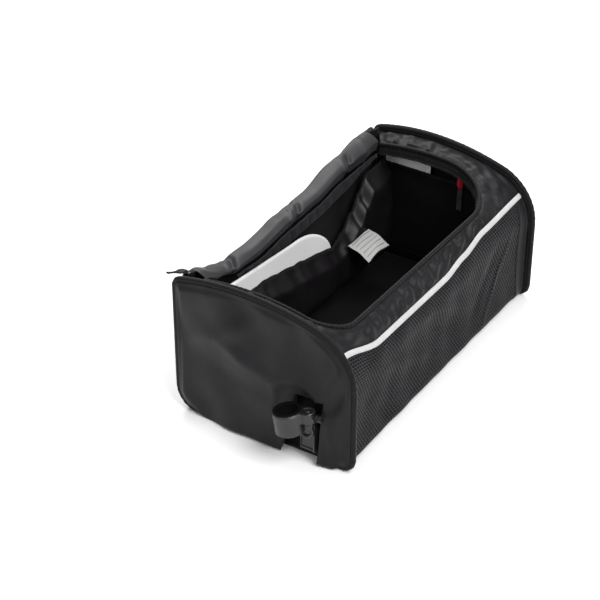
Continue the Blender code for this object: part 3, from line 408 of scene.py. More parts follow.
def clothPiece(name, grid, thickness=None, skip=None, closed=False):
    rows, columns = grid.shape[:2]
    cutSize(grid)
    middle = grid[rows // 2]
    u = np.tile(lengthsAlong(middle), (rows, 1))
    v = np.tile(lengthsAlong(grid[:, columns // 2])[:, None], (1, columns))
    places = np.column_stack([u.ravel(), v.ravel()])
    obj = meshPiece(name, grid.reshape(-1, 3), gridFaces(rows, columns, skip, closed), places)
    if thickness:
        solid = obj.modifiers.new("Thickness", "SOLIDIFY")
        solid.thickness = thickness
        solid.offset = -1
        solid.use_even_offset = False
    return obj


def sweep(name, path, width, sides=10, height=None, up=(0.3, 0.2, 1.0), wrinkle=None):
    # a round or flattened cord of cloth along a path, with filled ends
    path = np.asarray(path, float)
    tangents = np.gradient(path, axis=0)
    tangents = unit(tangents)
    side = np.cross(tangents, np.broadcast_to(np.asarray(up, float), path.shape))
    side = unit(side)
    over = np.cross(side, tangents)
    reached = lengthsAlong(path)
    vertices, places = [], []
    for i, point in enumerate(path):
        for k in range(sides):
            angle = 2 * math.pi * k / sides
            size = 1.0
            if wrinkle:
                size += wrinkle["depth"] * math.sin(reached[i] * 2 * math.pi / wrinkle["pitch"]
                                                    + wrinkle["twist"] * angle)
            vertices.append(point + side[i] * math.cos(angle) * width * size
                            + over[i] * math.sin(angle) * (height or width) * size)
            places.append((reached[i], width * angle))
    faces = gridFaces(len(path), sides, closed=True) + endCaps(len(path), sides)
    return meshPiece(name, vertices, faces, places)


def stitchRow(name, path, normals, stitch):
    # each stitch is a small pointed grain of thread, half sunk in the cloth
    path, normals = np.asarray(path, float), np.asarray(normals, float)
    reached = lengthsAlong(path)
    count = int(reached[-1] / stitch["pitch"])
    vertices, faces, places = [], [], []
    for n in range(count):
        at = (n + 0.5) * stitch["pitch"]
        here, ahead = pointAt(path, reached, at), pointAt(path, reached, at + 0.3 * mm)
        normal = pointAt(normals, reached, at)
        along = ahead - here
        if not np.linalg.norm(along):
            continue
        along /= np.linalg.norm(along)
        normal /= np.linalg.norm(normal)
        across = np.cross(along, normal)
        first = len(vertices)
        half = stitch["pitch"] * stitch["share"] / 2
        ring = [along * half, across * stitch["radius"], -along * half, -across * stitch["radius"]]
        vertices += [here + offset for offset in ring]
        vertices += [here + normal * stitch["radius"], here - normal * stitch["radius"]]
        places += [(at, 0)] * 6
        for k in range(4):
            faces.append((first + k, first + (k + 1) % 4, first + 4))
            faces.append((first + (k + 1) % 4, first + k, first + 5))
    return meshPiece(name, vertices, faces, places)


def toothRow(name, path, outwards, tooth):
    # the zip's coil, one small block a turn
    path, outwards = np.asarray(path, float), np.asarray(outwards, float)
    reached = lengthsAlong(path)
    count = int(reached[-1] / tooth["pitch"])
    vertices, faces = [], []
    for n in range(count):
        at = (n + 0.5) * tooth["pitch"]
        here, ahead = pointAt(path, reached, at), pointAt(path, reached, at + 0.3 * mm)
        out = pointAt(outwards, reached, at)
        along = (ahead - here) / max(np.linalg.norm(ahead - here), 1e-9)
        out /= np.linalg.norm(out)
        over = np.cross(along, out)
        first = len(vertices)
        for i in (-1, 1):
            for j, k in ((-1, -1), (1, -1), (1, 1), (-1, 1)):
                shrink = 0.6 if i > 0 else 1.0
                vertices.append(here + out * i * tooth["reach"] / 2
                                + along * j * tooth["width"] / 2 * shrink
                                + over * k * tooth["height"] / 2 * shrink)
        faces += [(first + a, first + b, first + c, first + d) for a, b, c, d in (
            (0, 3, 2, 1), (4, 5, 6, 7), (0, 1, 5, 4), (1, 2, 6, 5), (2, 3, 7, 6), (3, 0, 4, 7))]
    return meshPiece(name, vertices, faces, smoothed=False)


def turned(name, profile, sides):
    # a shape turned about its own Z from a profile of radius and height
    turns = [2 * math.pi * k / sides for k in range(sides)]
    vertices = [(radius * math.cos(angle), radius * math.sin(angle), height)
                for radius, height in profile for angle in turns]
    faces = gridFaces(len(profile), sides, closed=True)
    if profile[0] != profile[-1]:
        faces += endCaps(len(profile), sides)
    else:
        last = (len(profile) - 1) * sides
        faces = [tuple(i - last if i >= last else i for i in face) for face in faces]
        vertices = vertices[:last]
    return meshPiece(name, vertices, faces)


def roundedBlock(name, low, high, radius, segments=3):
    low, high = np.array(low), np.array(high)
    corners = [(x, y, z) for x in (0, 1) for y in (0, 1) for z in (0, 1)]
    vertices = [low + (high - low) * np.array(c) for c in corners]
    faces = [(0, 1, 3, 2), (4, 6, 7, 5), (0, 4, 5, 1), (2, 3, 7, 6), (0, 2, 6, 4), (1, 5, 7, 3)]
    obj = meshPiece(name, vertices, faces)
    edge = obj.modifiers.new("Rounded", "BEVEL")
    edge.width = radius
    edge.segments = segments
    return obj


def applyAll(obj):
    graph = bpy.context.evaluated_depsgraph_get()
    shape = bpy.data.meshes.new_from_object(obj.evaluated_get(graph))
    obj.modifiers.clear()
    obj.data = shape
    return obj


def onFloor(obj):
    # the thickness of a leaning edge may reach below the floor; it is pressed flat on it
    applyAll(obj)
    for vertex in obj.data.vertices:
        vertex.co.z = max(vertex.co.z, 0.0)
    return obj


def joinedPiece(name, pieces):
    # one mesh from several, each with its modifiers and place applied
    bpy.context.view_layer.update()
    vertices, faces = [], []
    for obj in pieces:
        graph = bpy.context.evaluated_depsgraph_get()
        shape = obj.evaluated_get(graph).to_mesh()
        first = len(vertices)
        vertices += [obj.matrix_world @ v.co for v in shape.vertices]
        faces += [[first + i for i in polygon.vertices] for polygon in shape.polygons]
    for obj in pieces:
        bpy.data.objects.remove(obj)
    return meshPiece(name, vertices, faces)


def sharpSides(obj, degrees):
    obj.data.set_sharp_from_angle(angle=math.radians(degrees))
    return obj


# The outline of a bag's end, one chain of arcs whose centres stay put when it is inset
crownCentre = np.array([panel["crownBack"], bag["height"] - panel["crown"]])


def tangentCentre(y, radius):
    reach = panel["crown"] - radius
    return np.array([y, crownCentre[1] + math.sqrt(reach ** 2 - (y - crownCentre[0]) ** 2)])


domeCentre = tangentCentre(frontY + panel["dome"], panel["dome"])
backCentre = tangentCentre(backY - panel["backCorner"], panel["backCorner"])
domeTurn, backTurn = [math.degrees(math.atan2(c[1] - crownCentre[1], c[0] - crownCentre[0]))
                      for c in (domeCentre, backCentre)]
frontFoot = (frontY + panel["frontFoot"], panel["frontFoot"])
backFoot = (backY - panel["backFoot"], panel["backFoot"])


def endOutline(inset, fine=4, turn=panel["pipingTurn"]):
    return np.concatenate([
        arc(frontFoot, panel["frontFoot"] - inset, 180 + turn, 180, 5 * fine),
        arc(domeCentre, panel["dome"] - inset, 180, domeTurn, 8 * fine),
        arc(crownCentre, panel["crown"] - inset, domeTurn, backTurn, 5 * fine)[1:-1],
        arc(backCentre, panel["backCorner"] - inset, backTurn, 0, 4 * fine),
        arc(backFoot, panel["backFoot"] - inset, 0, -turn, 5 * fine)])


def topHeight(y, inset=cloth["inset"]):
    y = np.asarray(y, float)
    change = crownCentre[0] + (panel["crown"] - inset) * math.cos(math.radians(domeTurn))

    def rise(centre, radius):
        return centre[1] + np.sqrt(np.maximum((radius - inset) ** 2 - (y - centre[0]) ** 2, 0))

    return np.where(y < change, rise(domeCentre, panel["dome"]),
                    np.where(y > backCentre[0], rise(backCentre, panel["backCorner"]),
                             rise(crownCentre, panel["crown"])))


# End panels: cloth over foam board, slightly puffed, with a sewn channel inside the piping
endPanel = {
    "puff": 1.6 * mm, "edge": 9 * mm, "footBorder": 5 * mm, "tuckedIn": 1.2 * mm,
    "channelIn": 4.6 * mm, "channelDepth": 0.5 * mm, "channelWidth": 1.0 * mm,
    "columns": 150, "lowerRows": 40, "upperRows": 56, "frontLead": 34 * mm, "backLead": 22 * mm,
    "leadSteps": 22, "proud": 0.4 * mm, "plainFoot": 10 * mm, "channelFade": 25 * mm,
    # the clamp's bracket pushes the cloth out round the cut-out
    "bulge": {"height": 5.5 * mm, "front": 44 * mm, "full": 90 * mm, "back": 185 * mm,
              "low": 40 * mm, "top": 135 * mm},
    "folds": {"seed": 4, "waves": 6, "towards": 130, "spread": 45, "length": 62 * mm},
    "foldDepth": 1.7 * mm, "footEase": 12 * mm,
    # behind the tube clamp the cloth stays flatter, clear of the ring
    "clear": {"along": 62 * mm, "up": 54 * mm, "wide": 24 * mm, "tall": 30 * mm, "room": 1.8 * mm,
              "beyond": 14 * mm},
    "stitch": {"pitch": 3.4 * mm, "share": 0.72, "radius": 0.32 * mm},
    # seen from outside: along the panel from its front, and up from the floor
    "lines": [
        (40, 74, 4, 134, 6, 3.2), (30, 60, 8, 100, 6, -2.6),
        (70, 72, 160, 104, 9, 3.2), (72, 56, 160, 70, 10, -2.2),
        (90, 148, 196, 84, 11, 3.2), (60, 150, 80, 84, 8, -2.6),
        (150, 154, 186, 100, 8, -1.4), (20, 4, 31, 72, 5, 1.2),
    ],
}


def panelColumns(low, high, notch, skirts):
    front, back = endPanel["frontLead"], endPanel["backLead"]
    bend = 1 - np.cos(np.radians(between(0, 90, endPanel["leadSteps"])))
    lead, trail = low + front * bend, high - back * bend
    spread = between(low + front, high - back, endPanel["columns"] - 2 * endPanel["leadSteps"])
    kept = [y for y in np.unique(np.round(np.concatenate([lead, spread, trail]), 6))
            if min(abs(y - edge) for edge in (*notch, *skirts)) > 0.25 * mm]
    step = 0.05 * mm
    return np.array(sorted(set(kept) | set(notch) | {s + d for s in skirts for d in (-step, step)}))


def buildPanel(side, word):
    inset = 2 * panel["piping"] - endPanel["tuckedIn"]
    low, high = frontY + inset, backY - inset
    notch = (frontY + panel["notchFront"], frontY + panel["notchFront"] + panel["notchWidth"])
    skirts = (frontFoot[0] + bag["gap"], backFoot[0] - bag["gap"])
    columns = panelColumns(low, high, notch, skirts)
    top = topHeight(columns, inset)
    reach = panel["frontFoot"] - inset
    front = frontFoot[1] - np.sqrt(np.maximum(reach ** 2 - (columns - frontFoot[0]) ** 2, 0))
    reach = panel["backFoot"] - inset
    back = backFoot[1] - np.sqrt(np.maximum(reach ** 2 - (columns - backFoot[0]) ** 2, 0))
    inwards = np.minimum(columns - skirts[0], skirts[1] - columns)
    eased = inset * (1 - smooth(inwards / endPanel["footEase"]))
    foot = np.where(columns < skirts[0], front, np.where(columns > skirts[1], back, eased))
    split = panel["notchHeight"] - panel["notchDrop"] * np.clip(
        (columns - notch[0]) / panel["notchWidth"], 0, 1)
    lower = np.linspace(0 * split, split, endPanel["lowerRows"] + 1)[:-1]
    upper = np.linspace(split, np.maximum(top, split + 1 * mm), endPanel["upperRows"] + 1)
    z = np.clip(np.concatenate([lower, upper]), foot, top)
    y = np.tile(columns, (len(z), 1))
    # the cut-out's edges lean forwards, and the cloth beside them follows, less and less
    reachUp = np.clip(z / panel["notchHeight"], 0, 1) * smooth(
        (top - z) / (top - panel["notchHeight"]))
    nearBack = smooth(1 - np.abs(y - notch[1]) / (panel["notchWidth"] * 0.9))
    nearFront = smooth(1 - np.abs(y - notch[0]) / (panel["notchFront"] * 0.8))
    y = y - (panel["notchLean"] * nearBack + panel["notchFrontLean"] * nearFront) * reachUp
    inNotch = (columns[:-1] >= notch[0] - 1e-6) & (columns[1:] <= notch[1] + 1e-6)
    skip = np.zeros((len(z) - 1, len(columns) - 1), bool)
    skip[:endPanel["lowerRows"], inNotch] = True
    flat = z[1:] - z[:-1] < 1e-7
    skip |= flat[:, :-1] & flat[:, 1:]
    outline = evenly(endOutline(inset), 600)
    border = np.min(np.hypot(y[:, :, None] - outline[:, 0], z[:, :, None] - outline[:, 1]), axis=2)
    border = np.minimum(border, z + endPanel["footBorder"])
    inside = smooth(border / endPanel["edge"])
    along = y - frontY
    lift = endPanel["puff"] * inside
    lift += endPanel["foldDepth"] * softFolds(along, z, endPanel["folds"]) * inside
    lift += creases(along, z, endPanel["lines"]) * inside
    bulge = endPanel["bulge"]
    lift += bulge["height"] * smooth(along / bulge["front"]) * (
        1 - smooth((along - bulge["full"]) / (bulge["back"] - bulge["full"]))) * (
        1 - smooth((z - bulge["low"]) / (bulge["top"] - bulge["low"]))) * inside
    clear = endPanel["clear"]
    away = np.hypot((along - clear["along"]) / clear["wide"], (z - clear["up"]) / clear["tall"])
    lift = np.minimum(lift, clear["room"] + clear["beyond"] * smooth(away - 0.8))
    channel = np.exp(-((border - endPanel["channelIn"]) / endPanel["channelWidth"]) ** 2)
    lift += endPanel["proud"] - endPanel["channelDepth"] * channel * smooth(
        (z - endPanel["plainFoot"]) / endPanel["channelFade"])
    x = side * (faceX - bag["gap"] + lift)
    grid = np.stack([x, y, z], axis=2)
    if side > 0:
        grid, skip = grid[:, ::-1], skip[:, ::-1]
    outside = normalsOf(grid)
    if outside[10, 10, 0] * side < 0:
        grid, skip = grid[:, ::-1], skip[:, ::-1]
    skin = onFloor(clothPiece(f"{word}PanelSkin", grid, panel["thickness"] - bag["gap"], skip))
    for vertex in skin.data.vertices:
        vertex.co.y = min(max(vertex.co.y, low), high)
    dress(skin, coatedNylon, replaces=[f"{word}_panel"])
    seam = endOutline(inset + endPanel["channelIn"])[4:-6]
    path = np.column_stack([np.full(len(seam), side * (faceX + 0.1 * mm)), seam])
    normals = np.tile([side, 0, 0], (len(path), 1))
    stitches = stitchRow(f"{word}PanelStitches", path, normals, endPanel["stitch"])
    dress(stitches, sewingThread)


pipingLook = {"sides": 12, "turn": 90, "ends": 7 * mm,
              "wrinkle": {"depth": 0.045, "pitch": 7 * mm, "twist": 1}}


def buildPiping(side, word):
    points = endOutline(panel["piping"], 10, pipingLook["turn"])
    ends = [points[0] + (pipingLook["ends"], 0), points[-1] - (pipingLook["ends"], 0)]
    points = np.concatenate([ends[:1], points, ends[1:]])
    path = np.column_stack([np.full(len(points), side * (faceX - panel["thickness"] / 2)), points])
    piping = sweep(f"{word}EdgePiping", path, panel["piping"], pipingLook["sides"],
                   up=(1, 0.01, 0), wrinkle=pipingLook["wrinkle"])
    dress(piping, bindingTape, replaces=[f"{word}_piping"])


for side, word in ((-1, "left"), (1, "right")):
    buildPanel(side, word)
    buildPiping(side, word)
print("end panels made")


# The reflective seam and the front below it
seam = {"margin": 19 * mm, "sag": 13.5 * mm, "bulge": 4 * mm, "radius": 2.2 * mm,
        "width": 2.9 * mm, "height": 0.7 * mm, "thickness": 1.4 * mm}
seamSags = [{"along": 0.00, "sag": 0.00}, {"along": 0.17, "sag": 1.00},
            {"along": 0.52, "sag": 1.00}, {"along": 0.64, "sag": 0.62},
            {"along": 0.76, "sag": 0.18}, {"along": 1.00, "sag": 0.00}]
seamY = frontY + seam["margin"]
seamRoom = seam["radius"] + 0.6 * mm


def seamPoints(along):
    along = np.asarray(along, float)
    sag = fromTable(seamSags, "sag", along)
    return np.column_stack([bodyEnd * (2 * along - 1), seamY - seam["bulge"] * sag,
                            np.full(along.shape, float(topHeight(seamY))) - seam["sag"] * sag])


net = {"bow": 7 * mm, "pitch": 4.2 * mm, "hole": 0.62, "thread": 0.5 * mm,
       "border": 5 * mm, "farBorder": 15 * mm, "linerBehind": 1.5 * mm, "linerThickness": 0.3 * mm,
       "folds": {"seed": 11, "waves": 4, "towards": 20, "spread": 25, "length": 60 * mm},
       "foldDepth": 0.5 * mm,
       # along the front from the left, and up from the floor
       "lines": [
           (350, 108, 286, 14, 3, 2.2), (326, 108, 262, 30, 9, -1.8),
           (60, 96, 180, 40, 10, 2.4), (20, 80, 90, 10, 9, -2.4),
           (130, 108, 236, 40, 11, -2.2), (170, 108, 268, 52, 10, 2.2),
       ]}


def frontProfile(count):
    front = frontY + cloth["inset"]
    foot = arc((front + cloth["foot"], cloth["foot"]), cloth["foot"], 270, 180, 8)
    last = 180 - math.degrees(math.acos((domeCentre[0] - seamY) / (panel["dome"] - cloth["inset"])))
    dome = arc(domeCentre, panel["dome"] - cloth["inset"], 180, last, 16)
    return evenly(np.concatenate([foot, dome[1:]]), count)


frontShape = frontProfile(60)
frontTall = lengthsAlong(frontShape)[-1]


def frontPoints(along, up):
    along, up = np.asarray(along, float), np.asarray(up, float)
    shares = np.linspace(0, 1, len(frontShape))
    y = np.interp(up, shares, frontShape[:, 0])
    z = np.interp(up, shares, frontShape[:, 1])
    sag = fromTable(seamSags, "sag", along) * up ** 2
    bow = net["bow"] * np.sin(math.pi * up) * np.sqrt(np.maximum(np.sin(math.pi * along), 0))
    a, b = along * bag["length"], up * frontTall
    edge = smooth(np.minimum(np.minimum(along, 1 - along) * 14, np.minimum(up * 7, (1 - up) * 7)))
    lift = (creases(a, b, net["lines"]) + net["foldDepth"] * softFolds(a, b, net["folds"])) * edge
    x = bodyEnd * (2 * along - 1)
    return np.stack([x, y - seam["bulge"] * sag + bow - lift,
                     z - seam["sag"] * sag], axis=-1)


def buildNet():
    # a warp-knitted net: six-sided holes in staggered rows
    wide = 2 * bodyEnd
    pitchY = net["pitch"] * math.sqrt(3) / 2
    radius = net["pitch"] / math.sqrt(3)
    corners = [(radius * math.sin(math.radians(60 * k)), radius * math.cos(math.radians(60 * k)))
               for k in range(6)]
    shared, flat, sunk, faces = {}, [], [], []
    rings = ((0.5 + net["hole"] / 2, 0.35), (net["hole"], 1.0))
    for row in range(1, int((frontTall - seamRoom) / pitchY)):
        shift = net["pitch"] / 2 if row % 2 else 0.0
        for column in range(1, int(wide / net["pitch"])):
            centre = (column * net["pitch"] + shift, row * pitchY)
            loops = [[]]
            for dx, dy in corners:
                key = (round((centre[0] + dx) / (0.1 * mm)), round((centre[1] + dy) / (0.1 * mm)))
                found = next((shared[k] for k in ((key[0] + i, key[1] + j) for i in (0, -1, 1)
                                                  for j in (0, -1, 1)) if k in shared), None)
                if found is None:
                    shared[key] = found = len(flat)
                    flat.append((centre[0] + dx, centre[1] + dy))
                    sunk.append(0.0)
                loops[0].append(found)
            for size, depth in rings:
                loops.append(list(range(len(flat), len(flat) + 6)))
                flat += [(centre[0] + dx * size, centre[1] + dy * size) for dx, dy in corners]
                sunk += [depth * net["thread"]] * 6
            for outer, inner in zip(loops[:-1], loops[1:]):
                for k in range(6):
                    j = (k + 1) % 6
                    faces.append((outer[k], inner[k], inner[j], outer[j]))
    flat, sunk = np.array(flat), np.array(sunk)
    points = frontPoints(flat[:, 0] / wide, flat[:, 1] / frontTall)
    points[:, 1] += sunk
    made = meshPiece("frontNet", points, faces, flat)
    dress(made, netYarn, replaces=["front_net"])


def buildFrontCloth():
    shareTop = 1 - seamRoom / frontTall
    along, up = np.meshgrid(between(0, 1, 150), between(0, shareTop, 60))
    grid = frontPoints(along, up)
    behind = normalsOf(grid)
    liner = clothPiece("frontLiner", grid - behind * net["linerBehind"], net["linerThickness"])
    dress(liner, liningCloth, replaces=["front_net"])
    strips = {
        "netLeftTape": (between(0, net["border"] / (2 * bodyEnd), 3), between(0, shareTop, 60)),
        "netRightTape": (between(1 - net["farBorder"] / (2 * bodyEnd), 1, 5),
                         between(0, shareTop, 60)),
        "netFootTape": (between(0, 1, 150), between(0, net["border"] / frontTall, 3)),
        "netTopTape": (between(0, 1, 150), between(shareTop - 2.4 * mm / frontTall, shareTop, 2)),
    }
    for name, (alongs, ups) in strips.items():
        along, up = np.meshgrid(alongs, ups)
        grid = frontPoints(along, up)
        raised = grid + normalsOf(grid) * 0.35 * mm
        strip = onFloor(clothPiece(name, raised, 0.7 * mm))
        dress(strip, coatedNylon if "Right" in name else bindingTape)


def buildSeam():
    points = seamPoints(between(0.003, 0.997, 240))
    out, across = np.array([0, -0.78, 0.62]), np.array([0, 0.62, 0.78])
    rows = [points + across * share * seam["width"] + out * seam["height"] * (2 - share ** 2)
            for share in between(-1, 1, 6)]
    band = clothPiece("reflectivePiping", np.array(rows), seam["thickness"])
    dress(band, reflectiveCloth, replaces=["reflective_seam"])


buildNet()
buildFrontCloth()
buildSeam()
print("front made")


# The mouth: a yoke of nylon gathered on a bound rim, with half a zip inside it
mouth = {"nearMargin": 19 * mm, "farMargin": 24.5 * mm, "frontMargin": 33 * mm,
         "backMargin": 26.5 * mm, "drop": 3 * mm,
         "nearCorner": 34 * mm, "farCorner": 67 * mm, "binding": 2 * mm, "tape": 9 * mm,
         "tapeThickness": 1.2 * mm, "lean": 0.35, "bulge": 2 * mm, "fine": 16, "rows": 34,
         "gatherPitch": 12 * mm, "gatherDepth": 1.1 * mm, "gatherReach": 12 * mm,
         "folds": {"seed": 21, "waves": 9, "towards": 30, "spread": 65, "length": 17 * mm},
         "foldDepth": 1.1 * mm, "hemWidth": 7 * mm, "hemDepth": 0.35 * mm,
         # slow waves along the rim, by which the gathers crowd and spread
         "sways": {"long": 73 * mm, "short": 41 * mm, "strength": 57 * mm},
         "ripples": ((0.35 * mm, 19 * mm), (0.25 * mm, 31 * mm)),
         "stitch": {"pitch": 3.0 * mm, "share": 0.7, "radius": 0.3 * mm}, "stitchIn": 2.4 * mm,
         "tooth": {"pitch": 1.7 * mm, "reach": 2.6 * mm, "width": 1.1 * mm, "height": 1.3 * mm}}


def mouthRim(fine):
    left, right = mouth["nearMargin"] - faceX, faceX - mouth["farMargin"]
    front, back = frontY + mouth["frontMargin"], backY - mouth["backMargin"]
    near, far = mouth["nearCorner"], mouth["farCorner"]

    def onTop(xs, ys):
        xs, ys = np.broadcast_arrays(np.asarray(xs, float), np.asarray(ys, float))
        return np.column_stack([xs, ys, topHeight(ys) - mouth["drop"]])

    nearPlan = arc((left + near, front + near), near, 180, 270, 6 * fine)
    farPlan = arc((right - far, front + far), far, 270, 360, 6 * fine)
    return [onTop(left, between(back, front + near, 5 * fine)), onTop(*nearPlan.T),
            onTop(between(left + near, right - far, 14 * fine), front), onTop(*farPlan.T),
            onTop(right, between(front + far, back, 4 * fine))]


def joinedPath(stretches):
    return np.concatenate([stretches[0]] + [stretch[1:] for stretch in stretches[1:]])


def yokeEdge(rim, fine):
    back = backCentre[0] + (panel["backCorner"] - cloth["inset"]) / 2
    nearCorner, farCorner = rim[1][0][1], rim[3][-1][1]
    nearEnd = rim[2][0][0] / bag["length"] + 0.5
    farStart = rim[2][-1][0] / bag["length"] + 0.5

    def alongEnd(x, first, last, count):
        ys = between(first, last, count)
        return np.column_stack([np.full(len(ys), x), ys, topHeight(ys)])

    return joinedPath([
        alongEnd(-bodyEnd, back, nearCorner, 5 * fine),
        alongEnd(-bodyEnd, nearCorner, seamY, 3 * fine),
        seamPoints(between(0, nearEnd, 3 * fine)),
        seamPoints(between(nearEnd, farStart, 14 * fine)),
        seamPoints(between(farStart, 1, 3 * fine)), alongEnd(bodyEnd, seamY, farCorner, 3 * fine),
        alongEnd(bodyEnd, farCorner, back, 4 * fine)])


def buildYoke():
    fine = mouth["fine"]
    rim = mouthRim(fine)
    inner, outer = joinedPath(rim), yokeEdge(rim, fine)
    run = inner - outer
    length = np.linalg.norm(run, axis=1, keepdims=True)
    tangent = np.gradient(inner, axis=0)
    outward = np.cross(tangent, run)
    outward = unit(outward)
    edge = np.gradient(outer, axis=0)
    edge = unit(edge)
    reach = np.linalg.norm(run - edge * np.sum(run * edge, axis=1, keepdims=True), axis=1)
    index = np.arange(len(inner))
    onSeam = (index >= 8 * fine) & (index <= 28 * fine)
    first = np.where(onSeam, seamRoom / reach, 0.0)
    clear = np.linalg.norm(run - tangent * (np.sum(run * tangent, axis=1, keepdims=True)
                                            / np.sum(tangent ** 2, axis=1, keepdims=True)), axis=1)
    last = 1 - (mouth["binding"] + bag["gap"]) / clear
    shares = np.linspace(first, last, mouth["rows"] + 1)
    around = lengthsAlong(inner)
    s = np.tile(around, (len(shares), 1))
    away = (1 - shares) * length[:, 0]
    edgeMask = smooth(np.minimum((shares - first) * 6, (last - shares) * 9))
    long, short, strength = [np.sin(s * 2 * math.pi / mouth["sways"][name])
                             for name in ("long", "short", "strength")]
    gather = np.sin(s * 2 * math.pi / mouth["gatherPitch"] + 3 * (0.35 * long + 0.5 * short))
    gather = gather * (0.65 + 0.35 * strength)
    lift = mouth["bulge"] * np.sin(math.pi * (shares - first) / (last - first))
    lift += mouth["gatherDepth"] * gather * np.exp(-away / mouth["gatherReach"]) * edgeMask
    lift += mouth["foldDepth"] * softFolds(s, away, mouth["folds"]) * edgeMask
    lift -= mouth["hemDepth"] * np.exp(-((away - mouth["hemWidth"]) / (1.2 * mm)) ** 2)
    grid = outer + run * shares[:, :, None] + outward * lift[:, :, None]
    if normalsOf(grid)[3, len(inner) // 2, 2] < 0:
        grid = grid[::-1]
    yoke = clothPiece("mouthYoke", grid, cloth["thickness"])
    dress(yoke, coatedNylon, replaces=["top_band"])
    line = outer + run * (last - mouth["stitchIn"] / length[:, 0])[:, None] \
        + outward * 0.35 * mm
    stitches = stitchRow("yokeStitches", line, outward, mouth["stitch"])
    dress(stitches, sewingThread)
    binding = sweep("mouthBinding", inner, mouth["binding"], 10, up=outward,
                    wrinkle={"depth": 0.08, "pitch": 5.5 * mm, "twist": 1})
    dress(binding, bindingTape, replaces=["mouth_binding"])
    return inner


def buildMouthZip(rim):
    tangent = np.gradient(rim, axis=0)
    inward = np.column_stack([-tangent[:, 1], tangent[:, 0], np.zeros(len(rim))])
    inward = unit(inward)
    down = np.array([0, 0, -1.0])
    start = rim + down * (mouth["binding"] + bag["gap"]) + inward * mouth["tapeThickness"] / 2
    end = rim + down * (mouth["binding"] + bag["gap"] + mouth["tape"]) \
        + inward * mouth["lean"] * mouth["tape"]
    around = lengthsAlong(rim)
    ripple = sum(depth * np.sin(around * 2 * math.pi / pitch) for depth, pitch in mouth["ripples"])
    rows = [start + (end - start) * share + inward * (ripple * share)[:, None]
            for share in between(0, 1, 6)]
    tape = clothPiece("mouthZipTape", np.array(rows), mouth["tapeThickness"] * 0.6)
    dress(tape, bindingTape, replaces=["mouth_zip_tape"])
    lowered = unit(end - start)
    teeth = toothRow("mouthZipTeeth", rows[-1] - lowered * 0.6 * mm, lowered, mouth["tooth"])
    dress(teeth, zipCoil)
    line = start + (end - start) * 0.35 + inward * 0.3 * mm
    dress(stitchRow("mouthZipStitches", line, inward, mouth["stitch"]), sewingThread)


buildMouthZip(buildYoke())
print("mouth made")


# The lid, folded back over the back wall and hanging behind it
lid = {"endMargin": 26 * mm, "thickness": 1.6 * mm, "ridgeDrop": 4 * mm, "sag": 30 * mm,
       "ridgeMargin": 8.5 * mm, "valleyMargin": 25 * mm, "hangMargin": 3.5 * mm,
       "floorMargin": 14 * mm, "corner": 34 * mm, "rise": 3 * mm, "tape": 9 * mm,
       "tuck": 3 * mm, "sideFade": 10 * mm, "deepest": 4.5 * mm, "hangDeepest": 1 * mm,
       "hangDepth": 0.5 * mm,
       "folds": {"seed": 33, "waves": 6, "towards": 60, "spread": 50, "length": 38 * mm},
       "foldDepth": 0.6 * mm,
       "hangFolds": {"seed": 35, "waves": 4, "towards": 20, "spread": 30, "length": 80 * mm},
       # along the bag from its left end, and across the facet from the ridge
       "lines": [
           (88, -2, 70, 22, 3.5, -4.5), (76, 0, 62, 22, 3, 1.3),
           (205, 2, 188, 22, 3, -4.0), (192, 2, 176, 20, 3, 1.2),
           (305, 4, 290, 26, 3.5, -4.5), (292, 3, 280, 24, 3, 1.3),
           (100, 9, 180, 8, 3, 0.9), (210, 10, 300, 12, 3.5, 0.8),
           (24, 4, 60, 14, 3, 0.9), (335, 0, 322, 30, 4, 1.6),
       ]}
lidFolds = [
    {"along": 0.01, "ridge": 0.17, "valley": 0.045, "hem": 0.020, "brow": 0.20},
    {"along": 0.07, "ridge": 0.30, "valley": 0.048, "hem": 0.020, "brow": 0.20},
    {"along": 0.13, "ridge": 0.60, "valley": 0.052, "hem": 0.020, "brow": 0.30},
    {"along": 0.21, "ridge": 0.87, "valley": 0.056, "hem": 0.022, "brow": 0.55},
    {"along": 0.31, "ridge": 0.87, "valley": 0.070, "hem": 0.036, "brow": 0.66},
    {"along": 0.45, "ridge": 0.68, "valley": 0.070, "hem": 0.090, "brow": 0.72},
    {"along": 0.59, "ridge": 0.60, "valley": 0.070, "hem": 0.090, "brow": 0.72},
    {"along": 0.74, "ridge": 0.23, "valley": 0.095, "hem": 0.095, "brow": 0.65},
    {"along": 0.86, "ridge": 0.03, "valley": 0.120, "hem": 0.048, "brow": 0.55},
    {"along": 0.93, "ridge": 0.03, "valley": 0.118, "hem": 0.030, "brow": 0.60},
    {"along": 0.99, "ridge": 0.13, "valley": 0.110, "hem": 0.024, "brow": 0.60},
]


def ridgeHeight(x):
    return bag["height"] - lid["ridgeDrop"] - lid["sag"] * fromTable(
        lidFolds, "ridge", np.asarray(x) / bag["length"] + 0.5)


def valleyHeight(x):
    return ridgeHeight(x) - bag["height"] * fromTable(
        lidFolds, "valley", np.asarray(x) / bag["length"] + 0.5)


def lidHem(fromEnd):
    inwards = np.minimum(fromEnd, lid["corner"])
    return lid["floorMargin"] + lid["corner"] - np.sqrt(
        lid["corner"] ** 2 - (lid["corner"] - inwards) ** 2)


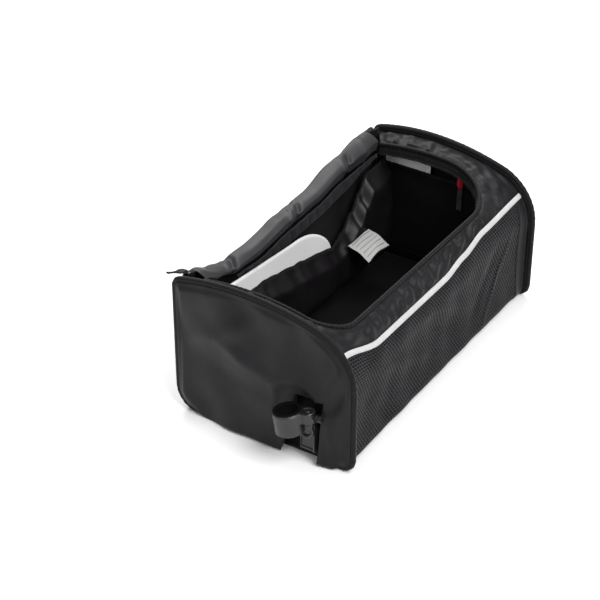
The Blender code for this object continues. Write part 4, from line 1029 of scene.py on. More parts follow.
def lidGrid():
    half = faceX - lid["endMargin"]
    turnIn = lid["corner"] * (1 - np.cos(np.radians(between(0, 90, 16))))
    middle = between(-half + lid["corner"], half - lid["corner"], 190)[1:-1]
    xs = np.concatenate([-half + turnIn, middle, half - turnIn[::-1]])
    ridgeY, valleyY = backY - lid["ridgeMargin"], backY - lid["valleyMargin"]
    hangY = backY - lid["hangMargin"]
    turn = hangY - ridgeY
    columns = []
    for x in xs:
        ridge, valley = float(ridgeHeight(x)), float(valleyHeight(x))
        brow = float(fromTable(lidFolds, "brow", x / bag["length"] + 0.5))
        edge = np.array([valleyY, valley + (ridge - valley) * brow])
        under = evenly([(valleyY + lid["tuck"], valley), edge], 6)
        slope = evenly([edge, (ridgeY - turn * 0.2, ridge - 0.3 * mm)], 14)
        share = between(0, 1, 14)
        slope[:, 1] += lid["rise"] * 2 * share * (1 - share)
        facet = np.concatenate([under, slope[1:]])
        facet[5:8] = (facet[4:7] + facet[5:8] * 2 + facet[6:9]) / 4
        facetY, facetZ = facet.T
        over = arc((ridgeY, ridge - turn), turn, 78, 0, 8)
        foot = float(lidHem(half - abs(x)))
        hangZ = between(over[-1][1], foot, 34)[1:]
        hangYs = hangY - lid["hangMargin"] / 2 * between(0, 1, 34)[1:]
        y = np.concatenate([facetY, over[:, 0], hangYs])
        z = np.concatenate([facetZ, over[:, 1], hangZ])
        columns.append(np.column_stack([np.full(len(y), x), y, z]))
    return np.array(columns).transpose(1, 0, 2), 20, 28


def buildLid():
    grid, facetEnd, hangStart = lidGrid()
    normals = normalsOf(grid)
    along = grid[:, :, 0] + faceX
    sections = lengthsAlong(grid[:, grid.shape[1] // 2])
    fromRidge = np.abs(sections - sections[facetEnd])[:, None] + np.zeros_like(along)
    row = np.arange(len(grid))[:, None] + np.zeros_like(along)
    onFacet = 1 - smooth((row - facetEnd) / (hangStart - facetEnd))
    sides = smooth(np.minimum(along - lid["endMargin"], 2 * faceX - lid["endMargin"] - along)
                   / lid["sideFade"])
    lift = creases(along, fromRidge, lid["lines"]) * onFacet
    lift += lid["foldDepth"] * softFolds(along, fromRidge, lid["folds"]) * (0.3 + 0.7 * onFacet)
    lift += lid["hangDepth"] * softFolds(along, grid[:, :, 2], lid["hangFolds"]) * (1 - onFacet)
    lift *= 0.25 + 0.75 * sides
    lift = np.maximum(lift, -lid["hangDeepest"] * (1 - onFacet) - lid["deepest"] * onFacet)
    shaped = grid + normals * lift[:, :, None]
    made = clothPiece("foldedLid", shaped, lid["thickness"] * 0.8)
    dress(made, coatedBack, replaces=["lid"])
    return shaped


def buildLidZip(shaped):
    ridge = 18  # the row of the lid's grid from which the tape is sewn on
    left, right = shaped[ridge:, 0], shaped[ridge:, -1]
    edge = np.concatenate([left[:-1], shaped[-1], right[-2::-1]])
    # the tape turns round the lid's corners with it
    tangent = np.gradient(edge, axis=0)
    count = len(left)
    index = np.arange(len(edge))
    down = np.minimum(index, len(edge) - 1 - index) / (count - 1)
    outward = np.cross([0, 1, 0], tangent)
    outward /= np.maximum(np.linalg.norm(outward, axis=1, keepdims=True), 1e-9)
    sideways = np.column_stack([np.sign(edge[:, 0]), np.zeros(len(edge)), np.zeros(len(edge))])
    mix = smooth((down - 0.9) / 0.1)[:, None]
    outward = sideways * (1 - mix) + outward * mix
    outward = unit(outward)
    rise = ridgeHeight(edge[:, 0] + np.sign(edge[:, 0]) * lid["tape"]) - ridgeHeight(edge[:, 0])
    lift = np.column_stack([np.zeros(len(edge)), np.zeros(len(edge)),
                            np.where(down < 1, rise * (1 - down), 0)])
    rows = [edge + outward * (0.6 * mm + lid["tape"] * share) + lift * share
            for share in between(0, 1, 5)]
    tape = clothPiece("lidZipTape", np.array(rows), mouth["tapeThickness"])
    dress(tape, bindingTape, replaces=["lid_zip_tape"])
    teeth = toothRow("lidZipTeeth", rows[-1] - outward * 0.2 * mm + np.array([0, 0.2 * mm, 0]),
                     outward, mouth["tooth"])
    dress(teeth, zipCoil)


zipEnd = {"length": 18 * mm, "width": 7 * mm}


def buildZipEnd():
    lift = 1.5 * bag["gap"] + mouth["tapeThickness"]
    corner, root = faceX - 2 * panel["piping"], faceX - zipEnd["length"]
    over = float(topHeight(backCentre[0], 0.0)) + lift
    front = evenly([(-root, backY - lid["ridgeMargin"], float(ridgeHeight(-root)) + lift),
                    (-corner, backY - lid["ridgeMargin"], over),
                    (-faceX, backY, over), (-faceX - 1 * mm, backY + 2 * mm, over - 0.4 * mm)], 24)
    share = between(0, 1, 24)
    width = zipEnd["width"] * (1 - 0.55 * smooth(share * 1.4 - 0.4))
    rows = [front + np.column_stack([0.1 * width * part, width * part,
                                     0.35 * mm * np.sin(part * 5 + share * 9)])
            for part in between(1, 0, 5)]
    dress(clothPiece("zipTapeEnd", np.array(rows), mouth["tapeThickness"]), bindingTape,
          replaces=["zip_end"])


backWall = {"bow": 4 * mm, "folds": {"seed": 41, "waves": 4, "towards": 30, "spread": 40,
                                     "length": 90 * mm}, "foldDepth": 0.5 * mm}


def buildBackWall():
    back = backY - cloth["inset"]
    foot = arc((back - cloth["foot"], cloth["foot"]), cloth["foot"], 0, -90, 8)
    xs = between(-bodyEnd, bodyEnd, 150)
    columns = []
    for x in xs:
        top = float(ridgeHeight(x)) - lid["thickness"] - 4 * bag["gap"] - 0.5 * mm
        heights = between(top, foot[0][1], 40)
        up = (heights - foot[0][1]) / (top - foot[0][1])
        bow = backWall["bow"] * np.sin(math.pi * up) * math.cos(math.pi * x / bag["length"])
        waves = 1 + softFolds(x + 0 * heights, heights, backWall["folds"])
        bow += backWall["foldDepth"] * waves * np.sin(math.pi * up) * 0.5
        y = np.concatenate([back - bow, foot[1:, 0]])
        z = np.concatenate([heights, foot[1:, 1]])
        columns.append(np.column_stack([np.full(len(y), x), y, z]))
    grid = np.array(columns).transpose(1, 0, 2)
    dress(clothPiece("backWallCloth", grid, cloth["thickness"]), coatedNylon,
          replaces=["back_wall"])


hem = {"margin": 25.2 * mm, "left": 0.20, "right": 0.92, "thickness": 1.2 * mm,
       "ripple": {"seed": 51, "waves": 5, "towards": 10, "spread": 35, "length": 22 * mm},
       "depth": 0.8 * mm}


def buildHem():
    xs = between((hem["left"] - 0.5) * bag["length"], (hem["right"] - 0.5) * bag["length"], 240)
    top = valleyHeight(xs) - lid["thickness"] + 1.0 * mm
    low = valleyHeight(xs) - bag["height"] * fromTable(lidFolds, "hem", xs / bag["length"] + 0.5)
    low = np.minimum(low, top - 2 * hem["thickness"])
    rows = []
    for share in between(0, 1, 14):
        z = low + (top - low) * share
        wrinkle = hem["depth"] * softFolds(xs, z, hem["ripple"]) * math.sin(
            math.pi * min(1, 0.15 + share * 0.85)) ** 0.5
        y = backY - hem["margin"] - 0.5 * mm - np.abs(wrinkle)
        rows.append(np.column_stack([xs, y, z]))
    dress(clothPiece("mouthBackHem", np.array(rows), hem["thickness"] * 0.7), coatedBack,
          replaces=["back_hem"])


buildLidZip(buildLid())
buildZipEnd()
buildBackWall()
buildHem()
print("lid and back made")


# Inside: pockets, linings, plates, label and strap
pocket = {"cloth": 1.2 * mm, "edgeMargin": 23.5 * mm, "bulgeMargin": 37 * mm,
          "footMargin": 29 * mm, "shoulder": 16 * mm, "gather": 0.9 * mm, "gathers": 15,
          "endRoom": 1 * mm, "endWidth": 150 * mm, "endHeight": 118 * mm, "endRise": 0.5 * mm,
          "elastic": 1.5 * mm,
          "folds": {"seed": 61, "waves": 5, "towards": 5, "spread": 40, "length": 30 * mm},
          "foldDepth": 1.0 * mm}
pocketEdges = [
    {"along": 0.00, "height": 0.555}, {"along": 0.33, "height": 0.540},
    {"along": 0.42, "height": 0.505}, {"along": 0.49, "height": 0.470},
    {"along": 0.59, "height": 0.425}, {"along": 0.68, "height": 0.395},
    {"along": 0.74, "height": 0.440}, {"along": 0.79, "height": 0.520},
    {"along": 0.83, "height": 0.625}, {"along": 0.87, "height": 0.725},
    {"along": 1.00, "height": 0.745}]
base = {"thickness": 3 * mm, "rail": 12 * mm, "railThickness": 4 * mm, "railMargin": 20 * mm,
        "lining": {"fromEnd": 4.6 * mm, "over": 0.6 * mm, "waves": 0.9 * mm, "fade": 14 * mm,
                   "thickness": 0.5 * mm,
                   "folds": {"seed": 81, "waves": 6, "towards": 40, "spread": 70,
                             "length": 70 * mm}}}
plateStart = -bodyEnd + base["railThickness"] + 1.2 * mm


def buildBackPocket():
    half = faceX - panel["thickness"] - base["railThickness"] - pocket["endRoom"]
    xs = between(-half, half, 300)
    edgeY, bulgeY = backY - pocket["edgeMargin"], backY - pocket["bulgeMargin"]
    footY, foot = backY - pocket["footMargin"], base["thickness"] + 0.3 * mm
    edge = bag["height"] * fromTable(pocketEdges, "height", xs / bag["length"] + 0.5)
    tip = plateStart + plate["length"]
    edgeY = edgeY + plate["bend"] * smooth((xs - tip + plate["bendLength"]) / plate["bendLength"]) \
        * (1 - smooth((xs - tip) / plate["bendLength"]))
    shoulder = edge - pocket["shoulder"]
    levels = [(footY, foot + 0 * xs), (bulgeY, foot + (shoulder - foot) * 0.35),
              (bulgeY, foot + (shoulder - foot) * 0.75), (bulgeY, shoulder),
              (bulgeY + (edgeY - bulgeY) * 0.6, edge - pocket["shoulder"] * 0.45), (edgeY, edge)]
    ys = np.array([y + 0 * xs for y, _ in levels])
    zs = np.array([z for _, z in levels])
    share = between(0, len(levels) - 1, 44)
    lower = np.minimum(share.astype(int), len(levels) - 2)
    part = (share - lower)[:, None]
    y = ys[lower] * (1 - part) + ys[lower + 1] * part
    z = zs[lower] * (1 - part) + zs[lower + 1] * part
    for _ in range(3):
        y[1:-1] = (y[:-2] + 2 * y[1:-1] + y[2:]) / 4
    up = share[:, None] / (len(levels) - 1)
    turns = xs * math.pi * pocket["gathers"] / half
    gathered = np.sin(turns + 1.2 * np.sin(turns * 0.37)) * (0.25 + 0.75 * up ** 2)
    ends = smooth(np.minimum(up * 6, (1 - up) * 5))
    y = y + (pocket["gather"] * gathered
             + pocket["foldDepth"] * softFolds(xs + 0 * y, z, pocket["folds"])) * ends
    z = z + 0.4 * mm * gathered * smooth(up * 3 - 2)
    grid = np.stack([np.tile(xs, (len(y), 1)), y, z], axis=2)
    dress(clothPiece("backPocketCloth", grid, pocket["cloth"] * 0.6), glazedNylon,
          replaces=["back_pocket"])
    elastic = sweep("pocketElastic", grid[-1] + np.array([0, 0.4 * mm, 0]), pocket["elastic"], 8,
                    wrinkle={"depth": 0.18, "pitch": 3.6 * mm, "twist": 1})
    dress(elastic, bindingTape)


endLining = {"depth": 0.8 * mm, "fade": 12 * mm,
             "folds": {"seed": 71, "waves": 5, "towards": 70, "spread": 50, "length": 50 * mm}}


def flatLining(name, node, x, ys, zs, side):
    y, z = np.meshgrid(ys, np.linspace(0, 1, 50))
    z = zs[0] + (np.interp(y, np.sort(ys), zs[1][np.argsort(ys)]) - zs[0]) * z
    edge = smooth(np.minimum(np.minimum(z - zs[0], y - ys.min()), ys.max() - y)
                  / endLining["fade"])
    lift = endLining["depth"] * (1 + softFolds(y, z, endLining["folds"])) * edge
    grid = np.stack([x + side * lift, y, z], axis=2)
    if normalsOf(grid)[20, len(ys) // 2, 0] * side < 0:
        grid = grid[:, ::-1]
    return dress(clothPiece(name, grid, pocket["cloth"] * 0.5), liningCloth,
                 replaces=[node])


def buildLinings():
    half = backY - base["railMargin"]
    foot = base["thickness"] + base["rail"]
    ys = between(-half, half, 60)
    flatLining("leftEndLining", "left_lining", -bodyEnd + pocket["cloth"] * 0.6, ys,
               (foot, topHeight(ys) - cloth["thickness"] - mouth["bulge"]), 1)
    back = backY - pocket["edgeMargin"]
    ys = between(back - pocket["endWidth"], back, 60)
    tops = pocket["endHeight"] + pocket["endRise"] * (ys - ys[0]) / pocket["endWidth"]
    x = bodyEnd - 0.9 * mm - 1.5 * mm - pocket["cloth"]
    flatLining("endPocketCloth", "end_pocket", x + pocket["cloth"] * 0.5, ys, (foot, tops), -1)
    path = np.column_stack([np.full(len(ys), x + 0.3 * mm), ys, tops])
    dress(sweep("endPocketBinding", path, 1.4 * mm, 8, wrinkle={"depth": 0.1, "pitch": 5 * mm,
                                                                 "twist": 1}),
          bindingTape)
    return x


def buildBaseCloth():
    half = backY - cloth["inset"] - cloth["foot"] - cloth["thickness"]
    lining = base["lining"]
    end = bodyEnd - lining["fromEnd"]
    x, y = np.meshgrid(between(-end, end, 150), between(-half, backY - pocket["footMargin"], 80))
    edge = smooth(np.minimum(bodyEnd - np.abs(x), half + y) / lining["fade"])
    # the waves stay above the board
    waves = np.maximum(1 + softFolds(x, y, lining["folds"]), 0)
    z = base["thickness"] + lining["over"] + lining["waves"] * waves * edge
    made = clothPiece("baseLining", np.stack([x, y, z], axis=2), lining["thickness"])
    dress(made, liningCloth)
    board = roundedBlock("baseBoard", (-bodyEnd, -half, 0), (bodyEnd, half, base["thickness"]),
                         0.8 * mm)
    dress(board, coatedNylon, replaces=["base_board"])


plate = {"thickness": 1.5 * mm, "length": 246 * mm, "top": 121 * mm, "slope": 0.09,
         "wide": 73 * mm, "high": 52 * mm, "endWidth": 58 * mm, "endTop": 139 * mm,
         "endCorner": 14 * mm, "bend": -3 * mm, "bendLength": 42 * mm}


def plateGrid(first, last, foot, topOf, rows=24, columns=90):
    # columns crowd towards the rounded end, where the top edge falls away
    along = first + (last - first) * np.sin(between(0, math.pi / 2, columns))
    a = np.tile(along, (rows + 1, 1))
    b = foot + (topOf(along) - foot) * between(0, 1, rows)[:, None]
    return a, b


def buildPlates():
    left, right = plateStart, plateStart + plate["length"]
    foot = base["thickness"] + bag["gap"]

    def backTop(a):
        run = np.clip((a - (right - plate["wide"])) / plate["wide"], 0, 1)
        shoulder = plate["top"] - plate["slope"] * (plate["length"] - plate["wide"])
        straight = plate["top"] - plate["slope"] * (a - left)
        round_ = shoulder - plate["high"] * (1 - np.sqrt(1 - run ** 2))
        return np.where(run > 0, round_, straight)

    a, b = plateGrid(left, right, foot, backTop)
    y = backY - pocket["edgeMargin"] + pocket["cloth"] + 0.3 * mm
    bend = plate["bend"] * smooth((a - right + plate["bendLength"]) / plate["bendLength"])
    grid = np.stack([a, y + bend, b], axis=2)
    dress(clothPiece("backSilverPlate", grid, plate["thickness"]), silverBoard,
          replaces=["back_plate"])
    back = backY - pocket["edgeMargin"] + pocket["cloth"]
    front = back - plate["endWidth"]

    def endTop(a):
        run = np.clip((front + plate["endCorner"] - a) / plate["endCorner"], 0, 1)
        return plate["endTop"] - plate["endCorner"] * (1 - np.sqrt(1 - run ** 2))

    a, b = plateGrid(back, front, base["thickness"] + base["rail"], endTop, 24, 60)
    x = bodyEnd - 0.3 * mm - plate["thickness"]
    grid = np.stack([np.full(a.shape, x), a, b], axis=2)
    dress(clothPiece("endSilverPlate", grid, plate["thickness"]), silverBoard,
          replaces=["end_plate"])


label = {"length": 44 * mm, "width": 27 * mm, "drop": 11 * mm, "x": 101.5 * mm, "height": 65 * mm,
         "thickness": 0.4 * mm, "curl": 1.6 * mm, "ripple": 0.5 * mm}


def buildLabel():
    start = backY - pocket["bulgeMargin"] - 1.2 * mm - bag["gap"]
    x, share = np.meshgrid(between(-0.5, 0.5, 30) * label["length"] + label["x"],
                           between(1, 0, 24))
    across = (x - label["x"]) / label["length"]
    y = start - label["width"] * share
    z = label["height"] - label["drop"] * share ** 1.6
    z = z + label["curl"] * share * np.cos(across * 5.2)
    z = z + label["ripple"] * np.sin(share * 9 + across * 7)
    dress(clothPiece("careLabel", np.stack([x, y, z], axis=2), label["thickness"]), taffetaLabel,
          replaces=["care_label"])


strap = {"width": 6 * mm, "length": 26 * mm, "thickness": 1.5 * mm, "fromBack": 121 * mm,
         "foot": 88 * mm, "tabWidth": 8 * mm, "tabLength": 16 * mm, "tabThickness": 3 * mm,
         # shares of the tab's width and length, from its foot to its point
         "tabShape": ((0.3, 0.0), (0.62, 0.03), (0.84, 0.16), (0.98, 0.34), (1.0, 0.5),
                      (0.92, 0.68), (0.7, 0.84), (0.4, 0.95), (0.08, 1.0))}


def buildStrap(pocketX):
    face = pocketX - 0.3 * mm
    middle = backY - strap["fromBack"]
    top = strap["foot"] + strap["length"]
    y, z = np.meshgrid(between(middle - strap["width"] / 2, middle + strap["width"] / 2, 6),
                       between(strap["foot"], top, 20))
    x = face - strap["thickness"] + 0.35 * mm * np.sin((z - strap["foot"]) * 300)
    grid = np.stack([x, y[:, ::-1], z], axis=2)
    dress(clothPiece("hangLoop", grid, strap["thickness"] * 0.75), greyWebbing,
          replaces=["hang_strap"])
    foot = top + 0.3 * mm
    tab = turned("redTab", [(strap["tabWidth"] / 2 * share, strap["tabLength"] * up)
                            for share, up in strap["tabShape"]], 32)
    flat = Matrix.Diagonal((strap["tabThickness"] / strap["tabWidth"], 1, 1, 1))
    tab.data.transform(Matrix.Translation((face - strap["tabThickness"] / 2, middle, foot)) @ flat)
    dress(tab, redAcetal, replaces=["red_tab"])


buildBackPocket()
endPocketX = buildLinings()
buildBaseCloth()
buildPlates()
buildLabel()
buildStrap(endPocketX)
print("inside made")


# Rails and tube clamps, moulded
clamp = {"tilt": 9, "fromNotch": 24.5 * mm, "middle": 53 * mm, "reach": 18 * mm,
         "tube": 10.5 * mm, "liner": 1.4 * mm, "band": 2.4 * mm, "height": 23 * mm,
         "neckLength": 18.5 * mm, "neckRadius": 7.5 * mm, "neckHeight": 13 * mm,
         "neckSetback": 6.5 * mm, "boltRadius": 4.2 * mm, "boltLength": 5 * mm,
         "bracketFromNotch": 12.5 * mm, "bracketWidth": 19 * mm, "bracketThickness": 8 * mm,
         "bossHeight": 38 * mm, "bracketRise": 1 * mm, "bracketFoot": 11 * mm,
         "bossRadius": 9 * mm, "bossLength": 5 * mm, "sides": 64, "edge": 0.6 * mm,
         "lip": 2.2 * mm, "lipHeight": 0.9 * mm, "proud": 0.4 * mm, "bandHeight": 11 * mm,
         "headOut": 3.5 * mm}
notchStart = frontY + panel["notchFront"]
clampY = notchStart + clamp["fromNotch"]
bracketY = notchStart + clamp["bracketFromNotch"]


def onClamp(obj, side, out=0.0, along=0.0, up=0.0, extra=None):
    tilt = math.radians(clamp["tilt"])
    place = Vector((side * (faceX + clamp["reach"] + out),
                    clampY + along * math.cos(tilt) + up * math.sin(tilt),
                    clamp["middle"] - along * math.sin(tilt) + up * math.cos(tilt)))
    turn = Matrix.Rotation(-tilt, 4, "X")
    obj.data.transform(Matrix.Translation(place) @ turn @ (extra or Matrix()))
    return obj


def ringProfile(inner, outer, height, edge):
    half = height / 2
    return [(outer - edge, -half), (outer, -half + edge), (outer, half - edge),
            (outer - edge, half), (inner + edge, half), (inner, half - edge),
            (inner, -half + edge), (inner + edge, -half), (outer - edge, -half)]


def linerProfile(inner, outer, height, edge):
    # the liner's upper end turns outwards over the ring
    half, low = height / 2, height / 2 - clamp["lipHeight"]
    lip = outer + clamp["lip"]
    return [(outer - edge, -half), (outer, -half + edge), (outer, low), (lip, low),
            (lip, half - edge), (lip - edge, half), (inner + edge, half), (inner, half - edge),
            (inner, -half + edge), (inner + edge, -half), (outer - edge, -half)]


def discProfile(radius, height, edge):
    half = height / 2
    return [(radius * 0.02, -half), (radius - edge, -half), (radius, -half + edge),
            (radius, half - edge), (radius - edge, half), (radius * 0.02, half)]


def lobedPlan(side, outer, lobe):
    # seen from above: the ring's circle and the lobe's as one outline, its two corners eased
    centres = np.array([(0, 0), (-side * clamp["neckSetback"], -clamp["neckLength"])])
    towards = centres[1] / np.linalg.norm(centres[1])
    middle = towards * (outer + np.linalg.norm(centres[1]) - lobe) / 2
    turns = np.linspace(0, 2 * math.pi, 240, endpoint=False)
    rays = np.column_stack([np.cos(turns), np.sin(turns)])
    reach = np.zeros(len(rays))
    for centre, radius in zip(centres, (outer, lobe)):
        along = rays @ (centre - middle)
        across = radius ** 2 - np.sum((centre - middle) ** 2) + along ** 2
        reach = np.maximum(reach, along + np.sqrt(np.maximum(across, 0)))
    plan = evenly(np.concatenate([middle + rays * reach[:, None], [middle + rays[0] * reach[0]]]),
                  180)[:-1]
    for _ in range(18):
        plan = (np.roll(plan, 1, axis=0) + 2 * plan + np.roll(plan, -1, axis=0)) / 4
    return plan


def bandOf(name, plan, wall, height, edge):
    # a closed band standing on a plan outline, with softened edges
    tangent = np.roll(plan, -1, axis=0) - np.roll(plan, 1, axis=0)
    inward = np.column_stack([-tangent[:, 1], tangent[:, 0]])
    inward = unit(inward)
    half, count = height / 2, len(plan)
    profile = [(edge, -half), (0, edge - half), (0, half - edge), (edge, half),
               (wall - edge, half), (wall, half - edge), (wall, edge - half), (wall - edge, -half)]
    vertices = [(x, y, z) for depth, z in profile for x, y in plan + inward * depth]
    faces = []
    for i in range(len(profile)):
        above = (i + 1) % len(profile)
        for k in range(count):
            j = (k + 1) % count
            faces.append((i * count + k, i * count + j, above * count + j, above * count + k))
    return meshPiece(name, vertices, faces)


def clampBodies(side, word, inner):
    lift = (clamp["height"] - clamp["neckHeight"]) / 2
    outer = clamp["tube"] + clamp["liner"] + clamp["band"] + bag["gap"]
    ring = onClamp(turned(f"{word}Ring", ringProfile(inner, outer, clamp["height"], clamp["edge"]),
                          clamp["sides"]), side)
    plan = lobedPlan(side, outer + clamp["proud"], clamp["neckRadius"] + clamp["proud"])
    band = onClamp(bandOf(f"{word}Band", plan, clamp["band"], clamp["bandHeight"], clamp["edge"]),
                   side, up=(clamp["height"] - clamp["bandHeight"]) / 2 - 1 * mm)
    core = onClamp(turned(f"{word}Core", discProfile(clamp["neckRadius"] - 0.6 * mm,
                                                    clamp["neckHeight"] - 1.6 * mm, clamp["edge"]),
                          40), side, -clamp["neckSetback"], -clamp["neckLength"], lift - 1.2 * mm)
    pin = onClamp(turned(f"{word}Pin", discProfile(clamp["neckRadius"] * 0.4, clamp["neckHeight"],
                                                  0.4 * mm), 24),
                  side, -clamp["neckSetback"], -clamp["neckLength"], lift - 0.6 * mm)
    return [ring, band, core, pin], lift


def bracketBlocks(side, word):
    half = clamp["bracketWidth"] / 2
    inner = faceX - panel["thickness"]
    centre = clamp["bossHeight"] + clamp["bracketRise"]
    outline = [(bracketY - half, clamp["bracketFoot"]), (bracketY + half, clamp["bracketFoot"])]
    outline += [tuple(p) for p in arc((bracketY, centre), half, 0, 180, 28)]
    outline = np.array(outline)
    layers = [(0.0, 0.0), (0.0, clamp["bracketThickness"] - 0.7 * mm),
              (-0.7 * mm, clamp["bracketThickness"]), (-3.0 * mm, clamp["bracketThickness"]),
              (-3.4 * mm, clamp["bracketThickness"] - 0.9 * mm)]
    middle = outline.mean(axis=0)
    vertices, count = [], len(outline)
    for grow, depth in layers:
        away = outline - middle
        scale = 1 + grow / np.maximum(np.linalg.norm(away, axis=1, keepdims=True), 1e-6)
        for y, z in middle + away * scale:
            vertices.append((side * (inner + depth), y, z))
    faces = gridFaces(len(layers), count, closed=True) + endCaps(len(layers), count)
    plateBody = meshPiece(f"{word}Plate", vertices, faces)
    tilt = math.radians(clamp["tilt"])
    lift = (clamp["height"] - clamp["neckHeight"]) / 2
    neckY = clampY - clamp["neckLength"] * math.cos(tilt) + lift * math.sin(tilt)
    neckZ = clamp["middle"] + clamp["neckLength"] * math.sin(tilt) + lift * math.cos(tilt)
    ends = sorted((side * (inner + clamp["bracketThickness"] / 2),
                   side * (faceX + clamp["reach"] - clamp["neckSetback"])))
    top = neckZ - clamp["neckHeight"] / 2 - clamp["neckRadius"] * math.sin(tilt)
    shelf = roundedBlock(f"{word}Shelf", (ends[0], neckY - clamp["bracketWidth"] / 4,
                                          clamp["bossHeight"] + clamp["bossRadius"] + 0.3 * mm),
                         (ends[1], neckY + clamp["bracketWidth"] / 8, top), 0.7 * mm, 2)
    # an upright flange on the bracket's front edge, which carries the bolt
    ends = sorted((side * inner, side * (inner + 11 * mm)))
    front = bracketY - half + 0.6 * mm
    flange = roundedBlock(f"{word}Flange", (ends[0], front, clamp["bracketFoot"] + 2 * mm),
                          (ends[1], front + 2 * mm, centre + 10 * mm), 0.6 * mm, 2)
    return [plateBody, shelf, flange]


def bossProfile():
    radius, length = clamp["bossRadius"], clamp["bossLength"]
    dish = length * 0.55
    return [(radius * 0.02, dish), (radius * 0.3, dish), (radius * 0.52, dish * 1.05),
            (radius * 0.6, dish * 1.35), (radius * 0.72, length * 0.96), (radius * 0.78, length),
            (radius * 0.92, length), (radius * 0.985, length * 0.93), (radius, length * 0.82),
            (radius, 0.0), (radius * 0.02, 0.0)]


def placedBoss(side, word):
    boss = turned(f"{word}BossTurned", bossProfile()[::-1], 48)
    face = faceX - panel["thickness"] + clamp["bracketThickness"] + 0.3 * mm
    boss.data.transform(Matrix.Translation((side * face, bracketY, clamp["bossHeight"]))
                        @ Matrix.Rotation(side * math.pi / 2, 4, "Y"))
    return boss


def hexBolt(side, lift):
    radius, length = clamp["boltRadius"], clamp["boltLength"]
    bolt = turned("hexHead", [(radius * 0.02, -length / 2), (radius, -length / 2),
                              (radius, length * 0.34), (radius * 0.86, length / 2),
                              (radius * 0.5, length / 2), (radius * 0.02, length * 0.42)], 6)
    washer = turned("boltWasher", discProfile(radius * 1.02, 0.8 * mm, 0.2 * mm), 32)
    reach = clamp["neckLength"] + clamp["neckRadius"] + bag["gap"] + clamp["headOut"]
    shank = turned("boltShank", discProfile(radius * 0.45, clamp["headOut"] + 1 * mm, 0.2 * mm), 24)
    onClamp(shank, side, -clamp["neckSetback"], -reach + clamp["headOut"] / 2, lift,
            Matrix.Rotation(math.pi / 2, 4, "X"))
    lay = Matrix.Rotation(math.pi / 2, 4, "X")
    onClamp(bolt, side, -clamp["neckSetback"], -reach - length / 2, lift, lay)
    onClamp(washer, side, -clamp["neckSetback"], -reach - 0.2 * mm, lift, lay)
    return [bolt, washer, shank]


def moulded(name, parts, finish, nodes, angle=35):
    obj = joinedPiece(name, parts)
    sharpSides(obj, angle)
    return dress(obj, finish, replaces=nodes)


def buildClamps():
    lined = clamp["tube"] + clamp["liner"] + bag["gap"]
    parts, lift = clampBodies(-1, "near", lined)
    moulded("nearClampRing", parts, mouldedNylon, ["left_clamp"])
    profile = linerProfile(clamp["tube"], clamp["tube"] + clamp["liner"],
                           clamp["height"] + 2 * mm, 0.3 * mm)
    liner = onClamp(turned("linerTurned", profile, clamp["sides"]), -1)
    moulded("nearClampLiner", [liner], clampRubber, ["left_liner"])
    moulded("nearBracket", bracketBlocks(-1, "near"), mouldedNylon,
            ["left_bracket"])
    moulded("nearBoss", [placedBoss(-1, "near")], mouldedNylon, ["left_boss"])
    moulded("nearBolt", hexBolt(-1, lift), zincSteel, ["left_bolt"], 20)
    parts, lift = clampBodies(1, "far", clamp["tube"] + bag["gap"])
    parts += bracketBlocks(1, "far")
    parts.append(placedBoss(1, "far"))
    moulded("farClamp", parts, mouldedNylon, ["right_clamp"])


def buildRails():
    half = backY - base["railMargin"]
    for side, word in ((-1, "left"), (1, "right")):
        ends = sorted((side * (bodyEnd - base["railThickness"]), side * bodyEnd))
        rail = roundedBlock(f"{word}EndRail", (ends[0], -half, base["thickness"] + 0.3 * mm),
                            (ends[1], half, base["thickness"] + base["rail"] - 0.3 * mm), 0.9 * mm)
        dress(rail, clampRubber, replaces=[f"{word}_rail"])


buildClamps()
buildRails()
print("clamps made")


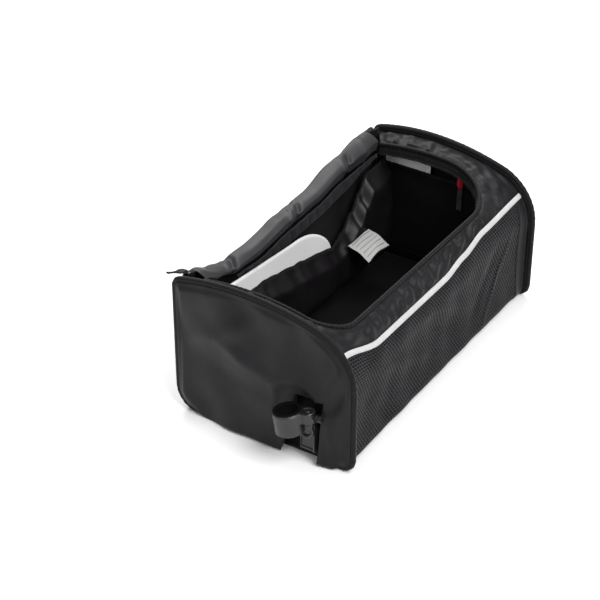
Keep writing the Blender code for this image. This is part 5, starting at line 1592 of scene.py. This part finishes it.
# Studio: pale floor, large soft lights, and the photograph's camera
studio = {"camera": (-1.2923, -0.7506, 1.0260), "target": (0.1875, 0.1983, -0.1103), "lens": 102,
          "sensor": 36, "floor": 6, "paper": (0.93, 0.96),
          "world": 0.34,
          "key": {"at": (-0.5, -1.3, 1.7), "power": 43, "size": 1.2},
          "side": {"at": (1.3, 1.1, 1.7), "power": 30, "size": 1.2},
          "top": {"at": (0.35, 0.25, 2.3), "power": 26, "size": 1.8},
          "fill": {"at": (-2.0, 0.6, 1.3), "power": 7, "size": 1.0}}


def softLight(name):
    light = studio[name]
    lamp = bpy.data.lights.new(name, "AREA")
    lamp.energy = light["power"]
    lamp.size = light["size"]
    obj = bpy.data.objects.new(name, lamp)
    obj.location = light["at"]
    towards = Vector((0, 0, bag["height"] / 2)) - Vector(light["at"])
    obj.rotation_euler = towards.to_track_quat("-Z", "Y").to_euler()
    bpy.context.scene.collection.objects.link(obj)


def buildStudio():
    scene = bpy.context.scene
    lens = bpy.data.cameras.new("camera")
    lens.lens = studio["lens"]
    lens.sensor_width = studio["sensor"]
    lens.clip_start, lens.clip_end = 0.05, 50
    camera = bpy.data.objects.new("camera", lens)
    camera.location = studio["camera"]
    towards = Vector(studio["target"]) - Vector(studio["camera"])
    camera.rotation_euler = towards.to_track_quat("-Z", "Y").to_euler()
    scene.collection.objects.link(camera)
    scene.camera = camera
    world = bpy.data.worlds.new("studio")
    world.use_nodes = True
    world.node_tree.nodes["Background"].inputs["Color"].default_value = (1, 1, 1, 1)
    world.node_tree.nodes["Background"].inputs["Strength"].default_value = studio["world"]
    scene.world = world
    for name in ("key", "side", "top", "fill"):
        softLight(name)
    corners = [(x * studio["floor"], y * studio["floor"], 0)
               for x, y in ((-1, -1), (1, -1), (1, 1), (-1, 1))]
    floor = meshPiece("studioFloor", corners, [(0, 1, 2, 3)], smoothed=False)
    made, tree = newMaterial("whitePaper")
    grain = addNode(tree, "ShaderNodeTexNoise", {"Scale": 300.0})
    shade = addNode(tree, "ShaderNodeMapRange", dict(zip(("To Min", "To Max"), studio["paper"])),
                    {"Value": grain.outputs["Fac"]})
    finishMaterial(tree, {"Roughness": 0.9}, {"Base Color": shade.outputs["Result"]})
    floor.data.materials.append(made)
    floor.location.z = -0.2 * mm
    scene.view_settings.view_transform = "Standard"


buildStudio()
print("studio made")
